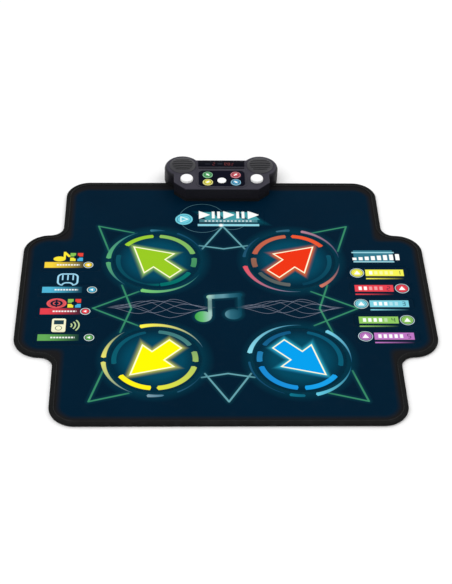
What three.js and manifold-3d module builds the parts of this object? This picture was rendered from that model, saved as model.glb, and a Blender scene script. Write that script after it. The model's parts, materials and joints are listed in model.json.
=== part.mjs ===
// Electronic dance mat: a soft layered mat with sprung press pads, and a plastic
// control box clamped over the middle of its rear edge.
// Millimetres, +Z up. The origin lies on the floor under the middle of the mat,
// +Y runs towards the control box and +X to the player's right.

import * as THREE from 'three';
import { mergeVertices } from 'three/addons/utils/BufferGeometryUtils.js';
import Module from 'manifold-3d';

const wasm = await Module();
wasm.setup();

// ---------------------------------------------------------------- dimensions

// Mat outline: a wide middle band, narrower in front and behind, with S-shaped corners.
const matWidth = 940;
const matLength = 836;
const neckWidth = 761;
const bandLength = 419;
const outerCornerRadius = 57;
const bandCornerRadius = 60;
const neckCornerRadius = 31;

// Mat layers, from the floor up, and the tape that binds their edge.
const backingThickness = 0.8;
const baseFoamThickness = 3.2;
const filmThickness = 0.4;
const spacerThickness = 1.4;
const coverThickness = 1;
const bindingThickness = 0.8;
const bindingWall = 1;
const bindingWidth = 13;

// Press pads: discs and rounded plates that stand a little proud of the cover.
const padRise = 0.8;
const arrowPadRadius = 99.5;
const arrowPadX = 158.2;
const arrowPadRearY = 116.8;
const arrowPadFrontY = -221.2;
const startPad = { x: -4, setback: 142, width: 208, height: 64 };
const levelPad = { x: 358, y: 71, width: 140, height: 42 };
const levelPadPitch = 54.5;
const levelPadCount = 5;
const modePad = { x: -357, width: 138, height: 40 };
const modePadRows = [97, 9, -65, -151];
const smallPadCorner = 14;

// Control box: a block with two cut front corners and a round speaker pod at each rear corner.
// It reaches over the mat by its overlap, and its pods stand behind the mat by their setback.
const boxOverlap = 75;
const boxHalfWidth = 117.5;
const boxFrontCut = 28.5;
const boxHeight = 44.5;
const boxPartingHeight = 16;
const boxEdgeBevel = 1.5;
const boxWall = 2.5;
const boxTopWall = 3;
const boxFloorWall = 3;
const boxRearRoom = 8.7;
const podX = 96;
const podSetback = 21.5;
const podRadius = 44.5;
const podShoulderWidth = 8;
const podShoulderDepth = 10;
const podRimFlat = 3.8;
const footHeight = 2.5;
const foot = { halfLength: 22, halfWidth: 6, rearMargin: 19 };

// Screws and the bosses that they turn in.
const bossRadius = 4.5;
const bossBite = 0.7;
const frontBossInset = { x: 11, y: 6.5 };
const screwShankRadius = 1.5;
const screwHeadRadius = 3;
const screwHeadThickness = 2.2;
const screwSeatDepth = 4.5;
const screwLength = 15;

// The plate and the two screws that clamp the mat to the box.
const clampPlateSize = { halfWidth: 72, width: 18, setback: 16, thickness: 1.6 };
const clampScrewX = 62;
const clampShankRadius = 1.4;
const clampHeadRadius = 4;
const clampHeadThickness = 0.7;
const clampBossHeight = 8;

// Speakers.
const grilleRise = 4.5;
const grilleWall = 2;
const grilleFlangeWidth = 1;
const grilleSlotField = 24.5;
const grilleSlotWidth = 2.6;
const grilleSlotPitch = 7.3;
const grilleSlotCount = 6;
const grilleSlotBend = 80;
const speakerRimThickness = 2.5;
const speakerDepth = 17;
const magnetRadius = 14;
const magnetHeight = 8;
const basketNeck = { radius: 18, height: 9 };
const basketWidth = 7;
const coneRim = { width: 6, lip: 3, depth: 1 };
const coneEye = { radius: 8, depth: 6 };
const dustCap = { radius: 6, depth: 5, crown: 1 };

// Display, button panel and the raised rib round them.
const windowGap = 5.5;
const windowDepth = 24.8;
const windowRearMargin = 2.9;
const windowCorner = 2;
const windowThickness = 1.6;
const displaySocketGap = 8;
const panelWidth = 114;
const panelLength = 63.5;
const panelSetback = 12;
const panelCorner = 12;
const panelThickness = 1.4;
const insetDepth = 2;
const insetLedge = 2;
const sharpestCorner = 1;
const ribGap = 3.5;
const ribWidth = 2.5;
const ribHeight = 1.2;
const grooveSetback = 8.5;
const grooveWidth = 3.5;
const grooveDepth = 1;

// Buttons.
const colourButtonRadius = 12.5;
const colourButtonX = 34.4;
const colourButtonRearMargin = 17.5;
const colourButtonFrontMargin = 16;
const centreButtonRadius = 10.8;
const centreButtonMargin = 23.6;
const panelButtonRise = 1.6;
const panelButtonRound = 0.8;
const panelButtonCrown = 0.2;
const domeButtonRadius = 15.4;
const domeButtonX = 86;
const domeButtonSetback = 38;
const domeButtonRim = 4.5;
const domeButtonCrown = 4.5;
const buttonFlangeWidth = 0.9;
const buttonFlangeThickness = 2;
const buttonStemRadius = 4;
const buttonStemLength = 4.2;
const panelButtonTravel = 1.2;
const domeButtonTravel = 2;

// Electronics.
const boardThickness = 1.6;
const boardFrontGap = 21;
const boardSideGap = 17.5;
const boardRearGap = 1;
const boardSpeakerGap = { x: 2.7, y: 2 };
const boardPost = { radius: 3, frontGap: 29, panelInset: 7 };
const keypadThickness = 1.5;
const keypadDomeRise = 1.4;
const keypadDomeRadius = 5;
const keypadMargin = 8;
const keypadFrontMargin = 6;
const ribbonWidth = 34;
const ribbonThickness = 0.3;
const ribbonSetback = 36;
const ribbonFootReach = 2.5;
const ribbonSlotReach = 3;
const connectorMargin = 2;
const connectorHeight = 4;
const socketSpeakerGap = 3;
const audioSocket = { width: 12, depth: 12, height: 6, bore: 1.8, wallHole: 3.3 };
const usbSocket = { width: 10, depth: 10, height: 4, mouthWidth: 8.4, mouthHeight: 2.6 };

// Batteries: two rows of two cells, end to end.
const cellDiameter = 14.5;
const cellLength = 50.5;
const cellGap = 0.9;
const cellTip = { radius: 2.7, length: 1.2, root: 0.2 };
const bayRoom = 1.6;
const bayRoofThickness = 1.8;
const contactThickness = 0.4;
const contactRoom = 4;
const contactReach = 5;
const contactMargin = 2;
const springRadius = 3.5;
const doorThickness = 2;
const doorMargin = 2;
const doorCorner = 2;
const doorScrewMargin = 9;
const doorScrewRadius = 1.2;
const doorScrewBite = 7;
const doorHead = { radius: 2.8, thickness: 1.1, lift: 0.1 };
const doorSeatGap = 0.1;

// Fits.
const slip = 0.3;
const tapeRelief = 0.5;
const stepRelief = 1.5;
const footRelief = 0.1;

// How far a cutting tool runs past the face that it cuts.
const over = 1;

// Straight steps in a quarter or half turn, by the size of the arc.
const arcSteps = 3;
const smallArcSteps = 2;
const holeSteps = 5;
const roundSteps = 9;
const wideSteps = 14;

// ------------------------------------------------- derived heights and places

const backingTop = backingThickness;
const baseFoamTop = backingTop + baseFoamThickness;
const lowerFilmTop = baseFoamTop + filmThickness;
const spacerTop = lowerFilmTop + spacerThickness;
const upperFilmTop = spacerTop + filmThickness;
const coverTop = upperFilmTop + coverThickness;
const bindingTop = coverTop + bindingThickness;

const matRearY = matLength / 2;
const stepY = matRearY + stepRelief;
const boxFrontY = matRearY - boxOverlap;
const podY = matRearY + podSetback;
const ribbonY = matRearY - ribbonSetback;
const domeButtonY = boxFrontY + domeButtonSetback;
const clampPlate = {
  ...clampPlateSize,
  frontY: matRearY - clampPlateSize.setback - clampPlateSize.width,
  rearY: matRearY - clampPlateSize.setback,
};
const clampScrewY = (clampPlate.frontY + clampPlate.rearY) / 2;

// The battery bay sets how far back the box's rear wall stands.
const cellPitch = cellDiameter + cellGap;
const bayHalfLength = cellLength + contactRoom;
const bayFrontY = stepY + boxWall + slip;
const bayRearY = bayFrontY + cellPitch + cellDiameter + bayRoom;
const bayMiddleY = (bayFrontY + bayRearY) / 2;
const bayFloor = footHeight + doorThickness;
const cellAxisZ = bayFloor + slip + cellDiameter / 2;
const bayTop = cellAxisZ + cellDiameter / 2 + slip;
const bayRoof = bayTop + bayRoofThickness;
const rearWallY = bayRearY + boxRearRoom;

const ceiling = boxHeight - boxTopWall;
const insetFloor = boxHeight - insetDepth;
const grilleRadius = podRadius - podShoulderWidth - podRimFlat;
const grilleFlange = { bottom: ceiling - slip - grilleWall, top: ceiling - slip };
const speakerRimRadius = grilleRadius + slip;
const speakerRimBottom = grilleFlange.bottom - speakerRimThickness;
const socketX = podX - speakerRimRadius - audioSocket.width / 2 - socketSpeakerGap;
const displayHalfWidth = socketX - audioSocket.width / 2 - displaySocketGap;
const windowHalf = podX - grilleRadius - windowGap;
const windowRearY = rearWallY - windowRearMargin;
const windowFrontY = windowRearY - windowDepth;
const panelHalf = panelWidth / 2;
const panelFrontY = boxFrontY + panelSetback;
const panelRearY = panelFrontY + panelLength;
const grooveFrontY = panelRearY + grooveSetback;
const colourButtonRearY = panelRearY - colourButtonRearMargin;
const colourButtonFrontY = panelFrontY + colourButtonFrontMargin;
const centreButtonY = panelFrontY + centreButtonMargin;

// The board hangs as far below the panel as the buttons, their travel and the keypad need.
const flangeTop = insetFloor - slip;
const panelStemBottom = flangeTop - buttonFlangeThickness - buttonStemLength;
const keypadDomeTop = panelStemBottom - slip - panelButtonTravel;
const keypadTop = keypadDomeTop - keypadDomeRise;
const boardTop = keypadTop - keypadThickness;
const boardHeight = boardTop - boardThickness;
const connectorBottom = boardHeight - connectorHeight;

// ------------------------------------------------------------------- outlines

// The mat's outline, moved inwards by inset, which leaves every arc's centre in place.
function matOutline(inset) {
  const corner = { x: neckWidth / 2 - outerCornerRadius, y: matLength / 2 - outerCornerRadius };
  const band = { x: matWidth / 2 - bandCornerRadius, y: bandLength / 2 - bandCornerRadius };
  const neck = { x: neckWidth / 2 + neckCornerRadius, y: bandLength / 2 + neckCornerRadius };
  const outerRadius = outerCornerRadius - inset;
  const bandRadius = bandCornerRadius - inset;
  const neckRadius = neckCornerRadius + inset;
  const right = 0;
  const up = Math.PI / 2;
  const left = Math.PI;
  const down = -Math.PI / 2;
  const outline = new THREE.Shape();
  outline.absarc(band.x, band.y, bandRadius, right, up, false);
  outline.absarc(neck.x, neck.y, neckRadius, down, -left, true);
  outline.absarc(corner.x, corner.y, outerRadius, right, up, false);
  outline.absarc(-corner.x, corner.y, outerRadius, up, left, false);
  outline.absarc(-neck.x, neck.y, neckRadius, right, down, true);
  outline.absarc(-band.x, band.y, bandRadius, up, left, false);
  outline.absarc(-band.x, -band.y, bandRadius, left, left + up, false);
  outline.absarc(-neck.x, -neck.y, neckRadius, up, right, true);
  outline.absarc(-corner.x, -corner.y, outerRadius, left, left + up, false);
  outline.absarc(corner.x, -corner.y, outerRadius, down, right, false);
  outline.absarc(neck.x, -neck.y, neckRadius, left, up, true);
  outline.absarc(band.x, -band.y, bandRadius, down, right, false);
  return outline;
}

function circle(x, y, radius) {
  return new THREE.Shape().absarc(x, y, radius, 0, 2 * Math.PI, false);
}

// A rectangle between two corners, with every corner rounded to the same radius.
function roundedRectangle(x0, y0, x1, y1, radius) {
  const quarter = Math.PI / 2;
  const outline = new THREE.Shape();
  outline.absarc(x1 - radius, y1 - radius, radius, 0, quarter, false);
  outline.absarc(x0 + radius, y1 - radius, radius, quarter, 2 * quarter, false);
  outline.absarc(x0 + radius, y0 + radius, radius, 2 * quarter, 3 * quarter, false);
  outline.absarc(x1 - radius, y0 + radius, radius, 3 * quarter, 4 * quarter, false);
  return outline;
}

// The control box in plan without its pods. The rear corners end inside the pods.
function boxOutline(inset) {
  const insidePod = 0.7 * podRadius;
  const half = boxHalfWidth - inset;
  const mitre = inset * Math.tan(Math.PI / 8);
  const rightSide = [
    [boxHalfWidth - boxFrontCut - mitre, boxFrontY + inset],
    [half, boxFrontY + boxFrontCut + mitre],
    [half, podY - insidePod],
    [podX, podY],
    [podX - insidePod, rearWallY - inset],
  ];
  const leftSide = rightSide.map(([x, y]) => [-x, y]).reverse();
  return new THREE.Shape([...rightSide, ...leftSide].map(([x, y]) => new THREE.Vector2(x, y)));
}

// --------------------------------------------------------------------- solids

// Turns a closed three.js geometry into a solid that can be joined and cut.
function solidOf(geometry) {
  geometry.deleteAttribute('normal');
  geometry.deleteAttribute('uv');
  const merged = mergeVertices(geometry, 1e-4);
  const corners = merged.index.array;
  const triangles = [];
  for (let i = 0; i < corners.length; i += 3) {
    const [a, b, c] = corners.slice(i, i + 3);
    if (a !== b && b !== c && c !== a) {
      triangles.push(a, b, c);
    }
  }
  return new wasm.Manifold(new wasm.Mesh({
    numProp: 3,
    vertProperties: new Float32Array(merged.attributes.position.array),
    triVerts: new Uint32Array(triangles),
  }));
}

function extrude(outline, bottom, top, steps = arcSteps) {
  const geometry = new THREE.ExtrudeGeometry(outline, {
    depth: top - bottom,
    bevelEnabled: false,
    curveSegments: steps,
  });
  geometry.translate(0, 0, bottom);
  return solidOf(geometry);
}

function disc(x, y, radius, bottom, top, steps = roundSteps) {
  return extrude(circle(x, y, radius), bottom, top, steps);
}

function block(x0, y0, z0, x1, y1, z1) {
  const geometry = new THREE.BoxGeometry(x1 - x0, y1 - y0, z1 - z0);
  geometry.translate((x0 + x1) / 2, (y0 + y1) / 2, (z0 + z1) / 2);
  return solidOf(geometry);
}

// Turns a profile of [radius, height] pairs, starting and ending on the axis, about a vertical line.
function turned(x, y, profile, facets = 2 * roundSteps) {
  const points = profile.map(([radius, height]) => new THREE.Vector2(radius, height));
  const geometry = new THREE.LatheGeometry(points, facets);
  geometry.rotateX(Math.PI / 2);
  geometry.translate(x, y, 0);
  return solidOf(geometry);
}

// A cylinder that lies along X or Y.
function rod(axis, start, length, radius, facets = 2 * holeSteps) {
  const geometry = new THREE.CylinderGeometry(radius, radius, length, facets);
  if (axis === 'x') {
    geometry.rotateZ(-Math.PI / 2);
    geometry.translate(start[0] + length / 2, start[1], start[2]);
  } else {
    geometry.translate(start[0], start[1] + length / 2, start[2]);
  }
  return solidOf(geometry);
}

function join(solids) {
  return solids.reduce((whole, next) => whole.add(next));
}

function cut(solid, tools) {
  return tools.reduce((rest, tool) => rest.subtract(tool), solid);
}

// ------------------------------------------------------------ scene and pieces

const group = new THREE.Group();

function finish(color, roughness, metalness = 0) {
  return new THREE.MeshStandardMaterial({ color, roughness, metalness });
}

function addPiece(name, solid, material) {
  const { vertProperties, triVerts } = solid.getMesh();
  const geometry = new THREE.BufferGeometry();
  geometry.setAttribute('position', new THREE.BufferAttribute(vertProperties, 3));
  geometry.setIndex(new THREE.BufferAttribute(triVerts, 1));
  geometry.computeVertexNormals();
  const mesh = new THREE.Mesh(geometry, material);
  mesh.name = name;
  group.add(mesh);
}

const printedCover = finish(0x021f33, 0.6);
const blackTape = finish(0x1b1b1b, 0.85);
const clearFilm = finish(0xc9cdd0, 0.35);
const greyFoam = finish(0x55585c, 0.95);
const backingCloth = finish(0x151618, 0.95);
const housingPlastic = finish(0x3c3b42, 0.5);
const darkPlastic = finish(0x1f1f24, 0.55);
const glossBlack = finish(0x04060f, 0.15);
const whitePlastic = finish(0xf4f5f4, 0.35);
const steel = finish(0xb8bbbd, 0.35, 1);
const rubber = finish(0x18181a, 0.9);
const boardGreen = finish(0x1d5a38, 0.5);
const siliconeGrey = finish(0x8b8f93, 0.7);

// ------------------------------------------------------------------ press pads

// Every pad's name and its outline, which grows by margin for the window it moves in.
function arrowPad(name, x, y, color) {
  const outline = (margin) => circle(x, y, arrowPadRadius + margin);
  return { name, color, outline, steps: wideSteps };
}

function plateAt(name, x, y, { width, height }, color) {
  const outline = (margin) => roundedRectangle(
    x - width / 2 - margin,
    y - height / 2 - margin,
    x + width / 2 + margin,
    y + height / 2 + margin,
    smallPadCorner + margin,
  );
  return { name, color, outline, steps: smallArcSteps };
}

const pads = [
  arrowPad('arrow_pad_rear_left', -arrowPadX, arrowPadRearY, 0x94c123),
  arrowPad('arrow_pad_rear_right', arrowPadX, arrowPadRearY, 0xe33613),
  arrowPad('arrow_pad_front_left', -arrowPadX, arrowPadFrontY, 0xfef102),
  arrowPad('arrow_pad_front_right', arrowPadX, arrowPadFrontY, 0x049de4),
  plateAt('start_pad', startPad.x, matRearY - startPad.setback, startPad, 0x6ec8d7),
];
for (let row = 0; row < levelPadCount; row += 1) {
  const y = levelPad.y - row * levelPadPitch;
  pads.push(plateAt(`level_pad_${row + 1}`, levelPad.x, y, levelPad, 0x3f7f95));
}
modePadRows.forEach((y, row) => {
  pads.push(plateAt(`mode_pad_${row + 1}`, modePad.x, y, modePad, 0x2f6f80));
});

for (const pad of pads) {
  const solid = extrude(pad.outline(0), spacerTop, coverTop + padRise, pad.steps);
  addPiece(pad.name, solid, finish(pad.color, 0.55));
}

// ----------------------------------------------------------------- mat layers

const layerInset = bindingWall + slip;
const clampSides = [-1, 1];

function padWindows(bottom, top) {
  return pads.map((pad) => extrude(pad.outline(slip), bottom - over, top + over, pad.steps));
}

function clampHoles(radius, bottom, top) {
  return clampSides.map((side) => disc(
    side * clampScrewX, clampScrewY, radius, bottom - over, top + over, holeSteps,
  ));
}

function ribbonSlot(bottom, top) {
  return block(
    -ribbonWidth / 2 - slip, ribbonY - ribbonSlotReach, bottom - over,
    ribbonWidth / 2 + slip, ribbonY + ribbonSlotReach, top + over,
  );
}

// A full sheet of the mat, with the holes for the clamp screws.
function layer(bottom, top, inset, tools = []) {
  const holes = clampHoles(clampShankRadius + slip, bottom, top);
  return cut(extrude(matOutline(inset), bottom, top), [...holes, ...tools]);
}

const platePocket = block(
  -clampPlate.halfWidth - slip, clampPlate.frontY - slip, backingTop - over,
  clampPlate.halfWidth + slip, clampPlate.rearY + slip, backingTop + clampPlate.thickness,
);

function windowedLayer(bottom, top) {
  return layer(bottom, top, layerInset, [...padWindows(bottom, top), ribbonSlot(bottom, top)]);
}

const backing = cut(
  extrude(matOutline(bindingWidth + slip), 0, backingTop),
  clampHoles(clampHeadRadius + slip, 0, backingTop),
);
addPiece('non_slip_backing', backing, backingCloth);
addPiece('foam_base', layer(backingTop, baseFoamTop, layerInset, [platePocket]), greyFoam);
addPiece('lower_circuit_film', layer(baseFoamTop, lowerFilmTop, layerInset), clearFilm);
addPiece('foam_spacer', windowedLayer(lowerFilmTop, spacerTop), greyFoam);
addPiece('upper_circuit_film', windowedLayer(spacerTop, upperFilmTop), clearFilm);
addPiece('top_cover', windowedLayer(upperFilmTop, coverTop), printedCover);

// The tape is folded over the edge: a lip above, a lip below and a wall outside.
const binding = cut(extrude(matOutline(0), 0, bindingTop), [
  extrude(matOutline(bindingWall), bindingThickness, coverTop),
  extrude(matOutline(bindingWidth), -over, bindingTop + over),
]);
addPiece('edge_binding', binding, blackTape);

// The clamp plate lies in a pocket of the foam, and two flat-headed screws draw it to the box.
const plate = cut(
  block(
    -clampPlate.halfWidth, clampPlate.frontY, backingTop,
    clampPlate.halfWidth, clampPlate.rearY, backingTop + clampPlate.thickness,
  ),
  clampHoles(clampShankRadius + slip, backingTop, backingTop + clampPlate.thickness),
);
addPiece('mat_clamp_plate', plate, steel);

const clampBossTop = coverTop + boxFloorWall + clampBossHeight;
for (const side of clampSides) {
  const headBottom = backingTop - clampHeadThickness;
  const screw = turned(side * clampScrewX, clampScrewY, [
    [0, headBottom],
    [clampHeadRadius, headBottom],
    [clampHeadRadius, backingTop],
    [clampShankRadius, backingTop],
    [clampShankRadius, clampBossTop - over],
    [0, clampBossTop - over],
  ], 2 * holeSteps);
  addPiece(side < 0 ? 'clamp_screw_left' : 'clamp_screw_right', screw, steel);
}

// The flat tail stands in its slot and rises from the lower film to the board's connector.
const ribbonFoot = block(
  -ribbonWidth / 2, ribbonY - ribbonFootReach, lowerFilmTop,
  ribbonWidth / 2, ribbonY + ribbonFootReach, lowerFilmTop + ribbonThickness,
);
const ribbonRise = block(
  -ribbonWidth / 2, ribbonY, lowerFilmTop,
  ribbonWidth / 2, ribbonY + ribbonThickness, connectorBottom - slip,
);
addPiece('ribbon_tail', join([ribbonFoot, ribbonRise]), clearFilm);

// ---------------------------------------------------------- control box shells

const sides = [['left', -1], ['right', 1]];

// The solid block of the box between two heights, with a bevelled top edge.
function boxBlock(inset, bottom, top, bevel) {
  const geometry = new THREE.ExtrudeGeometry(boxOutline(inset), {
    depth: top - bottom,
    bevelThickness: bevel,
    bevelSize: bevel,
    bevelOffset: -bevel,
    bevelSegments: 1,
  });
  geometry.translate(0, 0, bottom - bevel);
  const below = block(
    -matWidth, -matLength, bottom - 2 * bevel - over,
    matWidth, matLength, bottom,
  );
  return solidOf(geometry).subtract(below);
}

function podDrum(side, inset, bottom, top, shouldered) {
  const radius = podRadius - inset;
  const brow = { in: 0.3 * podShoulderWidth, down: 0.4 * podShoulderDepth };
  const shoulder = shouldered
    ? [
      [radius, top - podShoulderDepth],
      [radius - brow.in, top - brow.down],
      [radius - podShoulderWidth, top],
    ]
    : [[radius, top]];
  const profile = [[0, bottom], [radius, bottom], ...shoulder, [0, top]];
  return turned(side * podX, podY, profile, 2 * wideSteps);
}

function boxSolid(inset, bottom, top, shouldered, bevel = 0) {
  const body = bevel > 0
    ? boxBlock(inset, bottom, top, bevel)
    : extrude(boxOutline(inset), bottom, top);
  const drums = sides.map(([, side]) => podDrum(side, inset, bottom, top, shouldered));
  return join([body, ...drums]);
}

// The rear bosses stop below the speakers and lean on the pod's wall.
const rearScrew = {
  x: podX + podRadius - boxWall - bossRadius + bossBite,
  y: podY,
  floor: footHeight,
  bossTop: speakerRimBottom - slip,
};
const frontScrew = {
  x: boxHalfWidth - boxFrontCut - frontBossInset.x,
  y: boxFrontY + boxWall + frontBossInset.y,
  floor: coverTop,
  bossTop: ceiling,
};

const cornerScrews = sides.flatMap(([label, side]) => [
  { ...frontScrew, name: `housing_screw_front_${label}`, x: side * frontScrew.x },
  { ...rearScrew, name: `housing_screw_rear_${label}`, x: side * rearScrew.x },
]);

// Upper shell: open below, with seats for the window, the panel, the buttons and the grilles.
const seatOf = (half, frontY, rearY) => (margin) => [
  -half - margin,
  frontY - margin,
  half + margin,
  rearY + margin,
];
const windowSeat = seatOf(windowHalf, windowFrontY, windowRearY);
const panelSeat = seatOf(panelHalf, panelFrontY, panelRearY);

// A seat for a flat plate, and the opening inside its ledge.
function recess(seat, corner, steps) {
  const inner = Math.max(corner - insetLedge, sharpestCorner);
  return [
    extrude(roundedRectangle(...seat(slip), corner + slip), insetFloor, boxHeight + over, steps),
    extrude(roundedRectangle(...seat(-insetLedge), inner), ceiling - over, insetFloor + over, steps),
  ];
}

// A round hole through the box's top for each side's grille or dome button.
function topHoles(x, y, radius, steps) {
  return sides.map(([, side]) => disc(
    side * x, y, radius + slip, ceiling - over, boxHeight + ribHeight + over, steps,
  ));
}

const ribInner = panelHalf + ribGap;
const ribOuter = ribInner + ribWidth;
const ribFrontY = panelFrontY - ribGap;
const ribCorner = panelCorner + ribGap;
const ribRun = rearWallY + ribCorner;
const ribRing = (half, margin) => roundedRectangle(
  -half, ribFrontY - margin, half, ribRun + margin, ribCorner + margin,
);
const rib = cut(extrude(ribRing(ribOuter, ribWidth), ceiling, boxHeight + ribHeight), [
  extrude(ribRing(ribInner, 0), ceiling - over, boxHeight + ribHeight + over),
  block(-matWidth, windowRearY, 0, matWidth, matLength, 2 * boxHeight),
]);

const audioAxisZ = boardTop + audioSocket.height / 2;
const usbAxisZ = boardTop + usbSocket.height / 2;

const upperBosses = cornerScrews.map((screw) => disc(
  screw.x, screw.y, bossRadius, boxPartingHeight, screw.bossTop, holeSteps,
));
const upperScrewHoles = cornerScrews.map((screw) => disc(
  screw.x, screw.y, screwShankRadius + slip,
  boxPartingHeight - over, screw.floor + screwSeatDepth + screwLength + over, holeSteps,
));
const upperShell = cut(boxSolid(0, boxPartingHeight, boxHeight, true, boxEdgeBevel), [
  boxSolid(boxWall, boxPartingHeight - over, ceiling, true),
]);
const upperHousing = cut(join([upperShell, rib, ...upperBosses]), [
  ...upperScrewHoles,
  ...recess(windowSeat, windowCorner, 2),
  ...recess(panelSeat, panelCorner, arcSteps),
  block(
    -panelHalf, grooveFrontY, boxHeight - grooveDepth,
    panelHalf, grooveFrontY + grooveWidth, boxHeight + over,
  ),
  ...topHoles(podX, podY, grilleRadius, wideSteps),
  ...topHoles(domeButtonX, domeButtonY, domeButtonRadius, roundSteps),
  rod('y', [socketX, rearWallY - boxWall - over, audioAxisZ], boxWall + 2 * over, audioSocket.wallHole),
  block(
    -socketX - usbSocket.width / 2, rearWallY - boxWall - over, usbAxisZ - usbSocket.height / 2,
    -socketX + usbSocket.width / 2, rearWallY + over, usbAxisZ + usbSocket.height / 2,
  ),
]);
addPiece('upper_housing', upperHousing, housingPlastic);

// Lower shell: stands on the cover in front, steps over the binding, and drops behind the mat.
const floorTopFront = bindingTop + slip + boxFloorWall;
const floorTopRear = footHeight + boxFloorWall;
const doorScrewX = bayHalfLength + doorMargin / 2 + doorScrewMargin / 2;
const doorOutline = (margin) => roundedRectangle(
  -bayHalfLength - doorMargin - margin,
  bayFrontY - doorMargin / 2 - margin,
  bayHalfLength + doorMargin + doorScrewMargin + margin,
  bayRearY + doorMargin / 2 + margin,
  doorCorner + margin,
);

const behindMat = block(-matWidth, stepY, -over, matWidth, matLength, boxHeight);
const frontShell = cut(boxSolid(0, coverTop, boxPartingHeight, false), [
  block(
    -matWidth, matRearY - bindingWidth - tapeRelief, -over,
    matWidth, stepY, bindingTop + slip,
  ),
]);
const rearShell = boxSolid(0, footHeight, boxPartingHeight, false).intersect(behindMat);
const behindStep = block(-matWidth, stepY + boxWall, -over, matWidth, matLength, boxHeight);
const lowerCavity = join([
  boxSolid(boxWall, floorTopFront, boxPartingHeight + over, false),
  boxSolid(boxWall, floorTopRear, boxPartingHeight + over, false).intersect(behindStep),
]);
const bayBlock = block(
  -bayHalfLength - boxWall, stepY, footHeight,
  bayHalfLength + boxWall, bayRearY + boxWall / 2, bayRoof,
);
const postPlaces = [
  { x: domeButtonX, y: boxFrontY + boardPost.frontGap, foot: coverTop },
  { x: panelHalf - boardPost.panelInset, y: panelRearY - boardPost.panelInset, foot: bindingTop + slip },
];
const boardPosts = sides.flatMap(([, side]) => postPlaces.map((place) => disc(
  side * place.x, place.y, boardPost.radius, place.foot, boardHeight, holeSteps,
)));
const lowerBosses = cornerScrews.map((screw) => disc(
  screw.x, screw.y, bossRadius, screw.floor, boxPartingHeight, holeSteps,
));
const clampBosses = clampSides.map((side) => disc(
  side * clampScrewX, clampScrewY, bossRadius, coverTop, clampBossTop, holeSteps,
));
const doorBossRadius = bossRadius - 0.5;
const doorBoss = disc(doorScrewX, bayMiddleY, doorBossRadius, bayFloor, bayRoof, holeSteps);
const hollowShell = cut(join([frontShell, rearShell]), [lowerCavity]);
const lowerHousing = cut(
  join([hollowShell, bayBlock, doorBoss, ...boardPosts, ...lowerBosses, ...clampBosses]),
  [
    block(-bayHalfLength, bayFrontY, -over, bayHalfLength, bayRearY, bayTop),
    extrude(doorOutline(slip), -over, bayFloor, smallArcSteps),
    disc(doorScrewX, bayMiddleY, doorScrewRadius + slip, -over, bayRoof - over, holeSteps),
    ribbonSlot(coverTop, floorTopFront),
    ...clampHoles(clampShankRadius + slip, coverTop, clampBossTop),
    ...cornerScrews.map((screw) => disc(
      screw.x, screw.y, screwHeadRadius + slip, screw.floor - over, screw.floor + screwSeatDepth, holeSteps,
    )),
    ...cornerScrews.map((screw) => disc(
      screw.x, screw.y, screwShankRadius + slip, screw.floor, boxPartingHeight + over, holeSteps,
    )),
  ],
);
addPiece('lower_housing', lowerHousing, darkPlastic);

for (const screw of cornerScrews) {
  const seat = screw.floor + screwSeatDepth;
  const solid = turned(screw.x, screw.y, [
    [0, seat - screwHeadThickness],
    [screwHeadRadius, seat - screwHeadThickness],
    [screwHeadRadius, seat],
    [screwShankRadius, seat],
    [screwShankRadius, seat + screwLength],
    [0, seat + screwLength],
  ], 2 * holeSteps);
  addPiece(screw.name, solid, steel);
}

for (const [label, side] of sides) {
  const y = podY + podRadius - foot.rearMargin;
  const outline = roundedRectangle(
    side * podX - foot.halfLength, y - foot.halfWidth,
    side * podX + foot.halfLength, y + foot.halfWidth, foot.halfWidth - footRelief,
  );
  addPiece(`rubber_foot_${label}`, extrude(outline, 0, footHeight), rubber);
}

// -------------------------------------------------------------------- speakers

// A shallow arc across the grille that bows towards the player.
function grilleSlot(x, y, offset) {
  const reach = Math.sqrt(grilleSlotField ** 2 - offset ** 2);
  const steps = 4;
  const bow = (across) => across ** 2 / (2 * grilleSlotBend);
  const middle = y + offset - bow(reach) / 2;
  const edge = (edgeOffset, from, to) => Array.from({ length: steps + 1 }, (_, i) => {
    const across = from + (to - from) * i / steps;
    return new THREE.Vector2(x + across, middle + bow(across) + edgeOffset);
  });
  const half = grilleSlotWidth / 2;
  return new THREE.Shape([...edge(-half, -reach, reach), ...edge(half, reach, -reach)]);
}

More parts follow.
